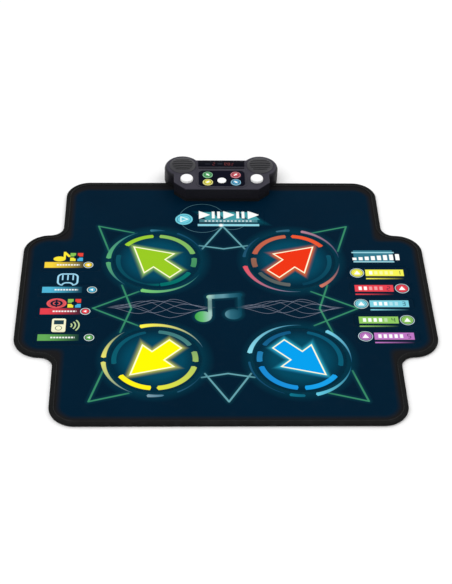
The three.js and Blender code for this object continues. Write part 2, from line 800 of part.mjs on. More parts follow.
// The cap's crown: [share of the radius, share of the rise], from the rim to the middle.
const crownSteps = [[1, 0.15], [0.93, 0.42], [0.55, 0.85], [0, 1]];
for (const [label, side] of sides) {
  const x = side * podX;
  const rim = grilleRadius - grilleWall;
  const crown = (radius, base) => crownSteps.map(([across, up]) => [across * radius, base + up * grilleRise]);
  const cap = turned(x, podY, [
    ...crown(rim, boxHeight - grilleWall).reverse(),
    [rim, grilleFlange.bottom],
    [grilleRadius + grilleFlangeWidth, grilleFlange.bottom],
    [grilleRadius + grilleFlangeWidth, grilleFlange.top],
    [grilleRadius, grilleFlange.top],
    ...crown(grilleRadius, boxHeight),
  ], 2 * wideSteps);
  const slots = Array.from({ length: grilleSlotCount }, (_, i) => {
    const offset = (i - (grilleSlotCount - 1) / 2) * grilleSlotPitch;
    return extrude(grilleSlot(x, podY, offset), ceiling, boxHeight + grilleRise + over);
  });
  addPiece(`speaker_grille_${label}`, cut(cap, slots), darkPlastic);

  const rimTop = grilleFlange.bottom;
  const driver = turned(x, podY, [
    [0, rimTop - speakerDepth],
    [magnetRadius, rimTop - speakerDepth],
    [magnetRadius, rimTop - speakerDepth + magnetHeight],
    [basketNeck.radius, rimTop - speakerDepth + basketNeck.height],
    [speakerRimRadius - basketWidth, speakerRimBottom],
    [speakerRimRadius, speakerRimBottom],
    [speakerRimRadius, rimTop],
    [speakerRimRadius - coneRim.width, rimTop],
    [speakerRimRadius - coneRim.width - coneRim.lip, rimTop - coneRim.depth],
    [coneEye.radius, rimTop - coneEye.depth],
    [dustCap.radius, rimTop - dustCap.depth],
    [0, rimTop - dustCap.depth + dustCap.crown],
  ]);
  addPiece(`speaker_driver_${label}`, driver, steel);
}

// --------------------------------------------------- display, panel and buttons

const windowOutline = roundedRectangle(...windowSeat(0), windowCorner);
const windowTop = insetFloor + windowThickness;
addPiece('display_window', extrude(windowOutline, insetFloor, windowTop, smallArcSteps), glossBlack);

const displayY = (windowFrontY + windowRearY) / 2;
const displayHalfDepth = windowDepth / 2 - insetLedge - 2 * slip;
addPiece('display_module', block(
  -displayHalfWidth, displayY - displayHalfDepth, boardTop,
  displayHalfWidth, displayY + displayHalfDepth, insetFloor - slip,
), darkPlastic);

// Every button's place, size and colour.
const panelButtons = [
  ['green', -colourButtonX, colourButtonRearY, colourButtonRadius, 0x2f9a45],
  ['red', colourButtonX, colourButtonRearY, colourButtonRadius, 0xb5293c],
  ['yellow', -colourButtonX, colourButtonFrontY, colourButtonRadius, 0xd9d84a],
  ['blue', colourButtonX, colourButtonFrontY, colourButtonRadius, 0x2f87a8],
  ['centre', 0, centreButtonY, centreButtonRadius, 0xf4f5f4],
].map(([label, x, y, radius, color]) => ({ name: `button_${label}`, x, y, radius, color }));
const domeButtons = sides.map(([label, side]) => ({
  name: `button_dome_${label}`, x: side * domeButtonX, y: domeButtonY,
}));

const panel = cut(
  extrude(roundedRectangle(...panelSeat(0), panelCorner), insetFloor, insetFloor + panelThickness),
  panelButtons.map((button) => disc(
    button.x, button.y, button.radius + slip, insetFloor - over, insetFloor + panelThickness + over,
  )),
);
addPiece('button_panel', panel, glossBlack);

const buttonTop = insetFloor + panelThickness + panelButtonRise;
for (const button of panelButtons) {
  const cap = turned(button.x, button.y, [
    [0, panelStemBottom],
    [buttonStemRadius, panelStemBottom],
    [buttonStemRadius, flangeTop - buttonFlangeThickness],
    [button.radius + buttonFlangeWidth, flangeTop - buttonFlangeThickness],
    [button.radius + buttonFlangeWidth, flangeTop],
    [button.radius, flangeTop],
    [button.radius, buttonTop - panelButtonRound],
    [button.radius - panelButtonRound, buttonTop - panelButtonCrown],
    [0, buttonTop],
  ]);
  addPiece(button.name, cap, finish(button.color, 0.4));
}

const domeFlangeTop = ceiling - slip;
const domeRimTop = boxHeight + domeButtonRim;
for (const button of domeButtons) {
  const crown = Array.from({ length: 4 }, (_, i) => {
    const angle = i * Math.PI / 8;
    return [domeButtonRadius * Math.cos(angle), domeRimTop + domeButtonCrown * Math.sin(angle)];
  });
  const cap = turned(button.x, button.y, [
    [0, keypadDomeTop + domeButtonTravel + slip],
    [buttonStemRadius, keypadDomeTop + domeButtonTravel + slip],
    [buttonStemRadius, domeFlangeTop - buttonFlangeThickness],
    [domeButtonRadius + buttonFlangeWidth, domeFlangeTop - buttonFlangeThickness],
    [domeButtonRadius + buttonFlangeWidth, domeFlangeTop],
    [domeButtonRadius, domeFlangeTop],
    ...crown,
    [0, domeRimTop + domeButtonCrown],
  ]);
  addPiece(button.name, cap, whitePlastic);
}

// ----------------------------------------------------------------- electronics

// The board is wide under the buttons and narrow between the speakers.
const boardFrontY = boxFrontY + boardFrontGap;
const boardStepY = podY - speakerRimRadius - boardSpeakerGap.y;
const boardRearY = rearWallY - boxWall - boardRearGap;
const boardWideHalf = boxHalfWidth - boardSideGap;
const boardNarrowHalf = podX - speakerRimRadius - boardSpeakerGap.x;
const ribbonConnector = block(
  -ribbonWidth / 2 - connectorMargin, ribbonY - connectorMargin, connectorBottom,
  ribbonWidth / 2 + connectorMargin, ribbonY + connectorMargin, boardHeight,
);
const board = join([
  block(-boardWideHalf, boardFrontY, boardHeight, boardWideHalf, boardStepY, boardTop),
  block(-boardNarrowHalf, boardStepY - over, boardHeight, boardNarrowHalf, boardRearY, boardTop),
  ribbonConnector,
]);
addPiece('main_board', board, boardGreen);

const keypadSheet = block(
  -domeButtonX - keypadMargin, colourButtonFrontY - keypadFrontMargin, boardTop,
  domeButtonX + keypadMargin, boardStepY - over, keypadTop,
);
const keypadRear = block(
  -colourButtonX - keypadMargin, boardStepY - 2 * over, boardTop,
  colourButtonX + keypadMargin, colourButtonRearY + keypadMargin, keypadTop,
);
const keypadDomes = [...panelButtons, ...domeButtons].map((button) => disc(
  button.x, button.y, keypadDomeRadius, keypadTop - over, keypadDomeTop, holeSteps,
));
addPiece('keypad_membrane', join([keypadSheet, keypadRear, ...keypadDomes]), siliconeGrey);

const socketRearY = rearWallY - boxWall - slip;

// A socket's block on the board, with its mouth against the rear wall.
function socketBlock(x, size) {
  return block(
    x - size.width / 2, socketRearY - size.depth, boardTop,
    x + size.width / 2, socketRearY, boardTop + size.height,
  );
}

const audioBore = rod(
  'y', [socketX, socketRearY - audioSocket.depth + over, audioAxisZ], audioSocket.depth, audioSocket.bore,
);
const usbMouth = block(
  -socketX - usbSocket.mouthWidth / 2, socketRearY - usbSocket.depth + over,
  usbAxisZ - usbSocket.mouthHeight / 2,
  -socketX + usbSocket.mouthWidth / 2, socketRearY + over,
  usbAxisZ + usbSocket.mouthHeight / 2,
);
addPiece('audio_socket', cut(socketBlock(socketX, audioSocket), [audioBore]), darkPlastic);
addPiece('usb_socket', cut(socketBlock(-socketX, usbSocket), [usbMouth]), steel);

// ------------------------------------------------------------------- batteries

// Each row's cells point the same way, and the two rows point opposite ways.
const cellRows = [
  { y: bayMiddleY - cellPitch / 2, facing: 1 },
  { y: bayMiddleY + cellPitch / 2, facing: -1 },
];
let cellNumber = 1;
for (const { y, facing } of cellRows) {
  for (const place of [-1, 1]) {
    const start = (place < 0 ? -cellLength : 0) + place * slip / 2;
    const bodyStart = facing < 0 ? start + cellTip.length : start;
    const tipStart = facing < 0 ? start : start + cellLength - cellTip.length - cellTip.root;
    const cell = join([
      rod('x', [bodyStart, y, cellAxisZ], cellLength - cellTip.length, cellDiameter / 2),
      rod('x', [tipStart, y, cellAxisZ], cellTip.length + cellTip.root, cellTip.radius),
    ]);
    addPiece(`battery_cell_${cellNumber}`, cell, finish(0x8c6b2f, 0.35, 0.6));
    cellNumber += 1;
  }
}

// A contact plate across both rows, with a dimple for one row and a spring cone for the other.
const springGap = contactRoom - contactThickness - 2 * slip;
for (const [label, side] of sides) {
  const plateX = side * (bayHalfLength - slip) - (side > 0 ? contactThickness : 0);
  const springRow = side < 0 ? cellRows[0].y : cellRows[1].y;
  const springStart = side < 0 ? plateX : plateX + contactThickness - springGap;
  const contact = join([
    block(
      plateX, cellRows[0].y - contactReach, bayFloor + contactMargin,
      plateX + contactThickness, cellRows[1].y + contactReach, bayTop - contactMargin,
    ),
    rod('x', [springStart, springRow, cellAxisZ], springGap, springRadius),
  ]);
  addPiece(`battery_contact_${label}`, contact, steel);
}

const doorTop = bayFloor - doorSeatGap;
const headBottom = footHeight + doorHead.lift;
const headTop = headBottom + doorHead.thickness;
const door = cut(extrude(doorOutline(0), footHeight, doorTop, smallArcSteps), [
  disc(doorScrewX, bayMiddleY, doorScrewRadius + slip, 0, bayFloor + over, holeSteps),
  disc(doorScrewX, bayMiddleY, doorHead.radius + slip, 0, headTop, holeSteps),
]);
addPiece('battery_door', door, darkPlastic);

const doorScrew = turned(doorScrewX, bayMiddleY, [
  [0, headBottom],
  [doorHead.radius, headBottom],
  [doorHead.radius, headTop],
  [doorScrewRadius, headTop],
  [doorScrewRadius, bayFloor + doorScrewBite],
  [0, bayFloor + doorScrewBite],
], 2 * holeSteps);
addPiece('battery_door_screw', doorScrew, steel);

export default group;
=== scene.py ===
"""An electronic dance mat: a printed, padded floor mat with sprung arrow pads, and a
plastic control box with two speakers on its rear edge. Shapes are worked out in
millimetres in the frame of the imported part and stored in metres.
"""
import json
import math

import bmesh
import bpy
import numpy as np
from mathutils import Matrix, Vector
from mathutils.geometry import delaunay_2d_cdt

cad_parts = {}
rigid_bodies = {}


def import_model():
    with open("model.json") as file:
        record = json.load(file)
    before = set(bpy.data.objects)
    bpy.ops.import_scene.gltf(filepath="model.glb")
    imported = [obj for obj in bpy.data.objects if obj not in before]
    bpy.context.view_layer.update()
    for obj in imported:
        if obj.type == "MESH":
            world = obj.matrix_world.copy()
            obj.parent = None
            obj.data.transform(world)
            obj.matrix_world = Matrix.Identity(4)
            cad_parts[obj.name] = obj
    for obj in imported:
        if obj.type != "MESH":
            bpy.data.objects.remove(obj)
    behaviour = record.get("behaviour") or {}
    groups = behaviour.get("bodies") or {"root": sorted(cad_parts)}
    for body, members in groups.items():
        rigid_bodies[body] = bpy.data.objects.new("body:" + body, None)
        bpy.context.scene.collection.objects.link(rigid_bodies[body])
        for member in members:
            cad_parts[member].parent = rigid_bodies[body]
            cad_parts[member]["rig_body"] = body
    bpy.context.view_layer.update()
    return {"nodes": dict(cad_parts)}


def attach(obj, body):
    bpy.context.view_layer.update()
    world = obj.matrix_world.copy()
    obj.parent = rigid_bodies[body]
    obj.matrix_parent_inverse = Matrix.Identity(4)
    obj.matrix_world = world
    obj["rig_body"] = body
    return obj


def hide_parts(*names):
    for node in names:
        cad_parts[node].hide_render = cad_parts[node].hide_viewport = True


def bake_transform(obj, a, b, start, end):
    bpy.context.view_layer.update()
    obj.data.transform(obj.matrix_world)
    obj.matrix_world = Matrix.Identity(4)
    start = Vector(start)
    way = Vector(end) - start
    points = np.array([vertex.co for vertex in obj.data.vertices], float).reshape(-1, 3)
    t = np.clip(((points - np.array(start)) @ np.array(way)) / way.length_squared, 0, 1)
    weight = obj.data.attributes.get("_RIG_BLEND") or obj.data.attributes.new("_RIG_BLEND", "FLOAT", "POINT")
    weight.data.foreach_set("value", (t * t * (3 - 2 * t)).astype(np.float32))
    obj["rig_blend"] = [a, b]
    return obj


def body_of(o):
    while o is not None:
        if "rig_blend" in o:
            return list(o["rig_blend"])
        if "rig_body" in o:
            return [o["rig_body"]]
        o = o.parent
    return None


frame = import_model()

# ------------------------------------------------------------------ camera, floor and lights
# A player stands in front of the mat and looks down at it. The mat lies on a plain
# white floor under two soft panels and an even white sky.

MM = 0.001


def look_from(place, right, down, forward, lens):
    """A camera whose three axes are the given unit vectors: across, down the picture and into it."""
    camera = bpy.data.objects.new("player_camera", bpy.data.cameras.new("player_camera"))
    bpy.context.scene.collection.objects.link(camera)
    camera.data.lens = lens
    camera.data.clip_start, camera.data.clip_end = 0.05, 60
    turn = Matrix((right, [-d for d in down], [-f for f in forward])).transposed()
    camera.matrix_world = Matrix.Translation(place) @ turn.to_4x4()
    return camera


bpy.context.scene.camera = look_from(
    place=(-0.11289, -2.68094, 2.33222),
    right=(0.999477, -0.024115, 0.021556),
    down=(0.000505, -0.654728, -0.755864),
    forward=(0.032341, 0.755479, -0.654374),
    lens=95.78,
)
bpy.context.scene.view_settings.view_transform = "Standard"


def linear(red, green, blue):
    """The linear light of a colour given as three display values from 0 to 255."""
    display = np.array([red, green, blue]) / 255
    light = np.where(display <= 0.04045, display / 12.92, ((display + 0.055) / 1.055) ** 2.4)
    return (*light.tolist(), 1.0)


class Socket:
    """One output of a shader tree. Arithmetic on it adds Math nodes."""

    def __init__(self, tree, socket=None):
        self.tree, self.socket = tree, socket

    def node(self, kind, settings=None, inputs=None, output=0):
        """Adds a node of any kind: its settings first, then the values or links of its sockets."""
        node = self.tree.nodes.new(kind)
        for name, value in (settings or {}).items():
            if name == "stops":
                self.fill(node.color_ramp.elements, value)
            elif name == "interpolation":
                node.color_ramp.interpolation = value
            else:
                setattr(node, name, value)
        for name, value in (inputs or {}).items():
            if isinstance(value, Socket):
                self.tree.links.new(value.socket, node.inputs[name])
            else:
                node.inputs[name].default_value = value
        return Socket(self.tree, node.outputs[output])

    @staticmethod
    def fill(elements, stops):
        """A ramp's stops, each a place from 0 to 1 and a colour."""
        places = sorted(stops, key=lambda stop: stop[0])
        while len(elements) < len(places):
            elements.new(1.0)
        for element, (place, colour) in zip(elements, places):
            element.position, element.color = place, colour

    def math(self, operation, *values, clamp=False):
        """A Math node with this socket as its first value."""
        values = {i: value for i, value in enumerate((self, *values))}
        return self.node("ShaderNodeMath", {"operation": operation, "use_clamp": clamp}, values)

    def vector(self, operation, *values, output=0):
        """A Vector Math node with this socket as its first value; output 1 is a plain number."""
        values = {i: value for i, value in enumerate((self, *values))}
        return self.node("ShaderNodeVectorMath", {"operation": operation}, values, output)

    def __add__(self, other):
        return self.math("ADD", other)

    def __sub__(self, other):
        return self.math("SUBTRACT", other)

    def __mul__(self, other):
        return self.math("MULTIPLY", other)

    def __truediv__(self, other):
        return self.math("DIVIDE", other)

    def __abs__(self):
        return self.math("ABSOLUTE")

    def __neg__(self):
        return self * -1.0

    __radd__ = __add__
    __rmul__ = __mul__

    def __rsub__(self, other):
        return -self + other

    def lower(self, other):
        return self.math("MINIMUM", other)

    def upper(self, other):
        return self.math("MAXIMUM", other)

    def above(self, limit):
        return self.math("GREATER_THAN", limit)

    def span(self, start, end):
        """0 at start, 1 at end, and straight between them."""
        return ((self - start) / (end - start)).math("ADD", 0.0, clamp=True)

    def filled(self, blur=0.6):
        """1 where a signed distance is inside, 0 outside, with an edge as wide as blur."""
        return self.math("MULTIPLY_ADD", -1 / blur, 0.5, clamp=True)

    def choose(self, first, second):
        """The first colour where this mask is 0 and the second where it is 1."""
        return self.node("ShaderNodeMix", {"data_type": "RGBA"}, {0: self, 6: first, 7: second}, output=2)

    def choose_number(self, first, second):
        """The first number where this mask is 0 and the second where it is 1."""
        return self.node("ShaderNodeMix", None, {0: self, 2: first, 3: second})

    def over(self, colour, mask):
        """This colour with another laid over it where mask is 1."""
        return mask.choose(self, colour)

    def part(self, axis):
        """One axis of a place: 0, 1 or 2."""
        return self.node("ShaderNodeSeparateXYZ", None, {0: self}, output=axis)


def new_material(name):
    """An empty Principled material, its place in millimetres and its shader's sockets."""
    material = bpy.data.materials.new(name)
    material.use_nodes = True
    shader = material.node_tree.nodes["Principled BSDF"]
    place = Socket(material.node_tree).node("ShaderNodeTexCoord", output=3)
    return material, place.vector("MULTIPLY", (1 / MM,) * 3), shader


def finish_material(tree_socket, shader, **inputs):
    """Connects or sets the shader's own sockets, whose names are written with underscores."""
    for name, value in inputs.items():
        socket = shader.inputs[name.replace("_", " ")]
        if isinstance(value, Socket):
            tree_socket.tree.links.new(value.socket, socket)
        else:
            socket.default_value = value


def bump(height, distance, strength=1.0):
    """The normal of a surface raised by height, from 0 to 1, times a distance in metres."""
    return height.node("ShaderNodeBump", None, {"Strength": strength, "Distance": distance, "Height": height})


def noise(place, scale, detail=2.0, output=0):
    """Cloudy noise from 0 to 1, with scale in features a millimetre."""
    return place.node("ShaderNodeTexNoise", None, {"Vector": place, "Scale": scale, "Detail": detail}, output)


def surface(name, points, faces, smooth=True):
    """A mesh piece from points in millimetres and faces of three or four corners."""
    mesh = bpy.data.meshes.new(name)
    faces = [np.asarray(group) for group in faces]
    counts = np.concatenate([np.full(len(group), group.shape[1]) for group in faces])
    corners = np.concatenate([group.ravel() for group in faces])
    mesh.vertices.add(len(points))
    mesh.vertices.foreach_set("co", (np.asarray(points) * MM).astype(np.float32).ravel())
    mesh.loops.add(len(corners))
    mesh.loops.foreach_set("vertex_index", corners.astype(np.int32))
    mesh.polygons.add(len(counts))
    mesh.polygons.foreach_set("loop_start", np.concatenate([[0], np.cumsum(counts)[:-1]]).astype(np.int32))
    mesh.polygons.foreach_set("use_smooth", np.full(len(counts), smooth))
    mesh.update(calc_edges=True)
    mesh.validate()
    piece = bpy.data.objects.new(name, mesh)
    bpy.context.scene.collection.objects.link(piece)
    return piece


def rings(count, around, first=0, closed=True):
    """Quads between count rows of points that each run round a loop of the same length."""
    i, j = np.meshgrid(np.arange(count - 1), np.arange(around if closed else around - 1), indexing="ij")
    i, j = i.ravel(), j.ravel()
    k = (j + 1) % around
    return first + np.stack([i * around + j, i * around + k, (i + 1) * around + k, (i + 1) * around + j], 1)


def floor_and_light():
    """A wide white floor just under the mat, an even white sky and two soft square panels."""
    half, low = 9000, -0.2
    corners = np.array([[-half, -half, low], [half, -half, low], [half, half, low], [-half, half, low]])
    floor = surface("studio_floor", corners, [np.array([[0, 1, 2, 3]])], smooth=False)
    material, place, shader = new_material("studio_floor")
    cloud = noise(place, 0.002)
    white = cloud.choose(linear(251, 251, 251), linear(255, 255, 255))
    finish_material(cloud, shader, Base_Color=white, Roughness=0.9)
    floor.data.materials.append(material)
    world = bpy.data.worlds.new("studio")
    world.use_nodes = True
    world.node_tree.nodes["Background"].inputs["Color"].default_value = (1, 1, 1, 1)
    world.node_tree.nodes["Background"].inputs["Strength"].default_value = 0.84
    bpy.context.scene.world = world
    panels = [((-1.6, -0.6, 2.6), 2.2, 22.0), ((1.9, 1.4, 2.4), 1.8, 16.0)]
    for number, (place, size, power) in enumerate(panels):
        light = bpy.data.lights.new(f"soft_panel_{number + 1}", "AREA")
        light.size, light.energy = size, power
        lamp = bpy.data.objects.new(light.name, light)
        lamp.location = place
        aim = Vector((0, 0, 0)) - Vector(place)
        lamp.rotation_euler = aim.to_track_quat("-Z", "Y").to_euler()
        bpy.context.scene.collection.objects.link(lamp)


floor_and_light()

# ------------------------------------------------------------------ printed cover
# One sheet of printed vinyl with a fine woven face, stretched over the foam and held all
# round by the edge tape. It has a window for each sprung pad, which carries the same print.

MAT_WIDTH, MAT_LENGTH = 940, 836
NECK_WIDTH, BAND_LENGTH = 761, 419
OUTER_RADIUS, BAND_RADIUS, NECK_RADIUS = 57, 60, 31
COVER_TOP, COVER_THICKNESS = 7.2, 1.0
TAPE_WIDTH = 13

# Each pad's middle, half width, half length and corner radius. The four arrow pads are round.
ARROW_X, ARROW_REAR_Y, ARROW_FRONT_Y, ARROW_PAD_RADIUS = 158.2, 116.8, -221.2, 99.5
LEVEL_TOP_Y, LEVEL_PITCH, LEVEL_COUNT = 71, 54.5, 5
MODE_PAD_Y = (97, 9, -65, -151)
PADS = {
    **{f"arrow_pad_{end}_{side}": (x, y, *[ARROW_PAD_RADIUS] * 3)
       for end, y in (("rear", ARROW_REAR_Y), ("front", ARROW_FRONT_Y))
       for side, x in (("left", -ARROW_X), ("right", ARROW_X))},
    "start_pad": (-4, 276, 104, 32, 14),
    **{f"level_pad_{row + 1}": (358, LEVEL_TOP_Y - LEVEL_PITCH * row, 70, 21, 14)
       for row in range(LEVEL_COUNT)},
    **{f"mode_pad_{row + 1}": (-357, y, 69, 20, 14) for row, y in enumerate(MODE_PAD_Y)},
}


def arc(x, y, radius, start, end, steps=18):
    """Points of a circle's arc between two angles in quarter turns."""
    angle = np.linspace(start, end, steps) * math.pi / 2
    return np.stack([x + radius * np.cos(angle), y + radius * np.sin(angle)], 1)


def filled_in(points, step):
    """A closed loop with extra points on its long straight runs; columns after the second go with them."""
    following = np.roll(points, -1, axis=0)
    lengths = np.linalg.norm((following - points)[:, :2], axis=1)
    counts = np.maximum(np.ceil(lengths / step).astype(int), 1)
    owner = np.repeat(np.arange(len(points)), counts)
    share = (np.arange(len(owner)) - np.repeat(np.cumsum(counts) - counts, counts)) / counts[owner]
    return points[owner] + (following - points)[owner] * share[:, None]


def mat_edge(inset):
    """The mat's outline moved inwards: each arc keeps its centre, and only its radius changes."""
    corner_x, corner_y = NECK_WIDTH / 2 - OUTER_RADIUS, MAT_LENGTH / 2 - OUTER_RADIUS
    band_x, band_y = MAT_WIDTH / 2 - BAND_RADIUS, BAND_LENGTH / 2 - BAND_RADIUS
    neck_x, neck_y = NECK_WIDTH / 2 + NECK_RADIUS, BAND_LENGTH / 2 + NECK_RADIUS
    outer, band, neck = OUTER_RADIUS - inset, BAND_RADIUS - inset, NECK_RADIUS + inset
    rear_right = np.concatenate([
        arc(band_x, band_y, band, 0, 1),
        arc(neck_x, neck_y, neck, 3, 2)[1:],
        arc(corner_x, corner_y, outer, 0, 1)[1:],
    ])
    rear_left = rear_right[::-1] * (-1, 1)
    front_left, front_right = rear_right * (-1, -1), rear_right[::-1] * (1, -1)
    return np.concatenate([rear_right, rear_left, front_left, front_right])


LOOP_STEPS = 96


def pad_edge(x, y, half_width, half_length, corner, inset=0.0, steps=LOOP_STEPS):
    """A rounded rectangle or circle moved inwards: four arcs that keep their centres."""
    angle = (np.arange(steps) + 0.5) / steps * 2 * math.pi
    side_x, side_y = np.sign(np.cos(angle)), np.sign(np.sin(angle))
    return np.stack([
        x + side_x * (half_width - corner) + (corner - inset) * np.cos(angle),
        y + side_y * (half_length - corner) + (corner - inset) * np.sin(angle),
    ], 1)


def inside(points, loop):
    """Whether each point lies in a closed loop: a line from it to the right crosses the loop an odd
    number of times."""
    x, y = points[:, :1], points[:, 1:]
    (ax, ay), (bx, by) = loop.T, np.roll(loop, -1, axis=0).T
    rise = np.where(by == ay, 1e-9, by - ay)
    crosses = ((ay > y) != (by > y)) & (x < (bx - ax) * (y - ay) / rise + ax)
    return crosses.sum(1) % 2 == 1


def plate(loops, spacing=None):
    """Points and triangles that fill the first loop and leave the other loops open."""
    starts = np.cumsum([0] + [len(loop) for loop in loops])
    edges = [(a + i, a + (i + 1) % len(loop)) for a, loop in zip(starts, loops) for i in range(len(loop))]
    points = list(loops)
    if spacing:
        low, high = loops[0].min(0) + spacing / 2, loops[0].max(0)
        columns, rows = np.meshgrid(np.arange(low[0], high[0], spacing), np.arange(low[1], high[1], spacing))
        points.append(np.stack([columns.ravel(), rows.ravel()], 1))
    found = delaunay_2d_cdt(np.concatenate(points).tolist(), edges, [], 0, 1e-6)
    flat, faces = np.array([tuple(p) for p in found[0]]), np.array(found[2])
    middle = flat[faces].mean(1)
    kept = inside(middle, loops[0])
    for loop in loops[1:]:
        kept &= ~inside(middle, loop)
    return flat, faces[kept]


def cover_height(points):
    """The cover's height: it dips a little towards the tape and lies in very shallow waves on the foam."""
    x, y = points.T
    wave = np.sin(x / 61 + 1.3 * np.sin(y / 97)) * np.sin(y / 73 + 0.8 * np.sin(x / 83))
    return COVER_TOP - 0.12 + 0.12 * wave


def printed_cover():
    """The sheet between the tape and the pads' windows, as one layer that a modifier thickens downwards."""
    edge = filled_in(mat_edge(1.3), 12)
    windows = [pad_edge(*pad) for pad in PADS.values()]
    flat, faces = plate([edge, *windows], spacing=9)
    height = cover_height(flat)
    cover = surface("printed_cover", np.column_stack([flat, height]), [faces])
    wall = cover.modifiers.new("thickness", "SOLIDIFY")
    wall.thickness, wall.offset = COVER_THICKNESS * MM, -1
    return cover, faces, flat


cover, cover_faces, cover_flat = printed_cover()
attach(cover, "root")
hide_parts("top_cover")


# The print is a picture in ink: every shape is a signed distance in millimetres on the mat.

BLACK_INK, WHITE = linear(26, 26, 28), linear(250, 252, 250)
RING_X, RING_REAR_Y, RING_FRONT_Y, FOLD_Y = 158.5, 116.5, -221.2, -53.0
TURN = 360.0


def between(p, start, end):
    """The distance from a straight line between two points."""
    run = np.subtract(end, start)
    from_start = p.vector("SUBTRACT", (*start, 0))
    along = from_start.vector("DOT_PRODUCT", (*(run / (run @ run)), 0), output=1).math("ADD", 0.0, clamp=True)
    nearest = along.node("ShaderNodeCombineXYZ", None, {0: along * float(run[0]), 1: along * float(run[1])})
    return from_start.vector("SUBTRACT", nearest).vector("LENGTH", output=1)


def boxed(p, x, y, half_width, half_length):
    """The signed distance from an upright rectangle."""
    beyond = p.vector("SUBTRACT", (x, y, 0)).vector("ABSOLUTE")
    beyond = beyond.vector("SUBTRACT", (half_width, half_length, 0))
    return beyond.part(0).upper(beyond.part(1))


def cushion(p, x, y, half_width, half_length, corner):
    """The signed distance from a rectangle with round corners."""
    size = (half_width - corner, half_length - corner, 0)
    beyond = p.vector("SUBTRACT", (x, y, 0)).vector("ABSOLUTE").vector("SUBTRACT", size)
    outside = beyond.vector("MAXIMUM", (0, 0, 0)).vector("LENGTH", output=1)
    return outside + beyond.part(0).upper(beyond.part(1)).lower(0.0) - corner


def round_from(p, x, y, radius):
    """The signed distance from a disc."""
    return p.vector("DISTANCE", (x, y, 0), output=1) - radius


def leaning(p, x, y, half_width, half_length, lean):
    """The signed distance from a rectangle whose upright sides lean to the right."""
    local = p.vector("SUBTRACT", (x, y, 0))
    across, up = local.part(0), local.part(1)
    return (abs(across - up * lean) - half_width).upper(abs(up) - half_length)


def triangle(p, x, y, reach, turn):
    """The signed distance from an equal-sided triangle that points at an angle in degrees."""
    local = p.vector("SUBTRACT", (x, y, 0))
    furthest = None
    for side in (60, 180, 300):
        angle = math.radians(turn + side)
        edge = local.vector("DOT_PRODUCT", (math.cos(angle), math.sin(angle), 0), output=1)
        furthest = edge if furthest is None else furthest.upper(edge)
    return furthest - reach / 2


def ring_stops(arcs):
    """Ramp stops round a ring from arcs of (start, end, colour, colour, width, width), in degrees.
    An arc that starts or ends at half a turn goes on in the arc on the other side of it."""
    stops, step = [], 0.15 / TURN
    for start, end, colour, last, width, last_width in sorted(arcs):
        first, second = start / TURN + 0.5, end / TURN + 0.5
        if first > 0:
            stops.append((first - step, (*linear(*colour)[:3], 0)))
        stops.append((first, (*linear(*colour)[:3], width)))
        stops.append((second, (*linear(*last)[:3], last_width)))
        if second < 1:
            stops.append((second + step, (*linear(*last)[:3], 0)))
    return stops


# Each arc: where it starts and ends in degrees, its two end colours, and its two end widths as shares.
INNER_ARCS = {
    "rear_left": [
        (-103, -84.8, (4, 66, 78), (0, 92, 92), 0.5, 0.7),
        (-84, -30, (0, 104, 98), (6, 112, 104), 0.9, 0.9),
        (-15.7, 5.2, (62, 138, 92), (74, 146, 96), 1, 1),
        (15, 84.8, (118, 176, 98), (138, 186, 88), 1, 1),
        (94.8, 143, (148, 196, 52), (150, 202, 44), 1, 1),
        (168, 180, (6, 76, 92), (6, 76, 92), 0.9, 0.9),
        (-180, -104, (6, 76, 92), (4, 62, 78), 0.9, 0.4),
    ],
    "rear_right": [
        (-150, -95, (74, 88, 86), (96, 98, 96), 0.8, 0.9),
        (-77, 12, (4, 58, 80), (8, 78, 98), 0.7, 0.9),
        (34.5, 87.1, (228, 84, 48), (232, 86, 46), 1, 1),
        (96.9, 165, (196, 98, 70), (182, 94, 72), 1, 1),
        (174.8, 180, (146, 98, 80), (144, 96, 78), 1, 1),
        (-180, -164.3, (144, 96, 78), (138, 92, 76), 1, 1),
    ],
    "front_left": [
        (-180, -171, (6, 88, 104), (6, 88, 104), 0.9, 0.9),
        (-145, -95.5, (252, 238, 22), (252, 236, 20), 1, 1),
        (-85.7, -14.3, (222, 222, 60), (176, 196, 92), 1, 1),
        (-5.2, 15.6, (150, 182, 96), (132, 168, 100), 1, 1),
        (30, 85.5, (70, 126, 122), (58, 116, 120), 0.9, 0.9),
        (103.6, 180, (6, 76, 98), (6, 88, 104), 0.7, 0.9),
    ],
    "front_right": [
        (-180, -174.8, (32, 124, 176), (32, 124, 176), 1, 1),
        (-165.7, -96.1, (24, 132, 204), (22, 142, 216), 1, 1),
        (-86.1, -35, (20, 156, 228), (22, 156, 228), 1, 1),
        (-13, 76, (6, 88, 112), (6, 84, 112), 0.9, 0.8),
        (100, 150, (14, 84, 124), (18, 92, 134), 0.8, 0.9),
        (164.4, 180, (30, 118, 168), (32, 124, 176), 1, 1),
    ],
}
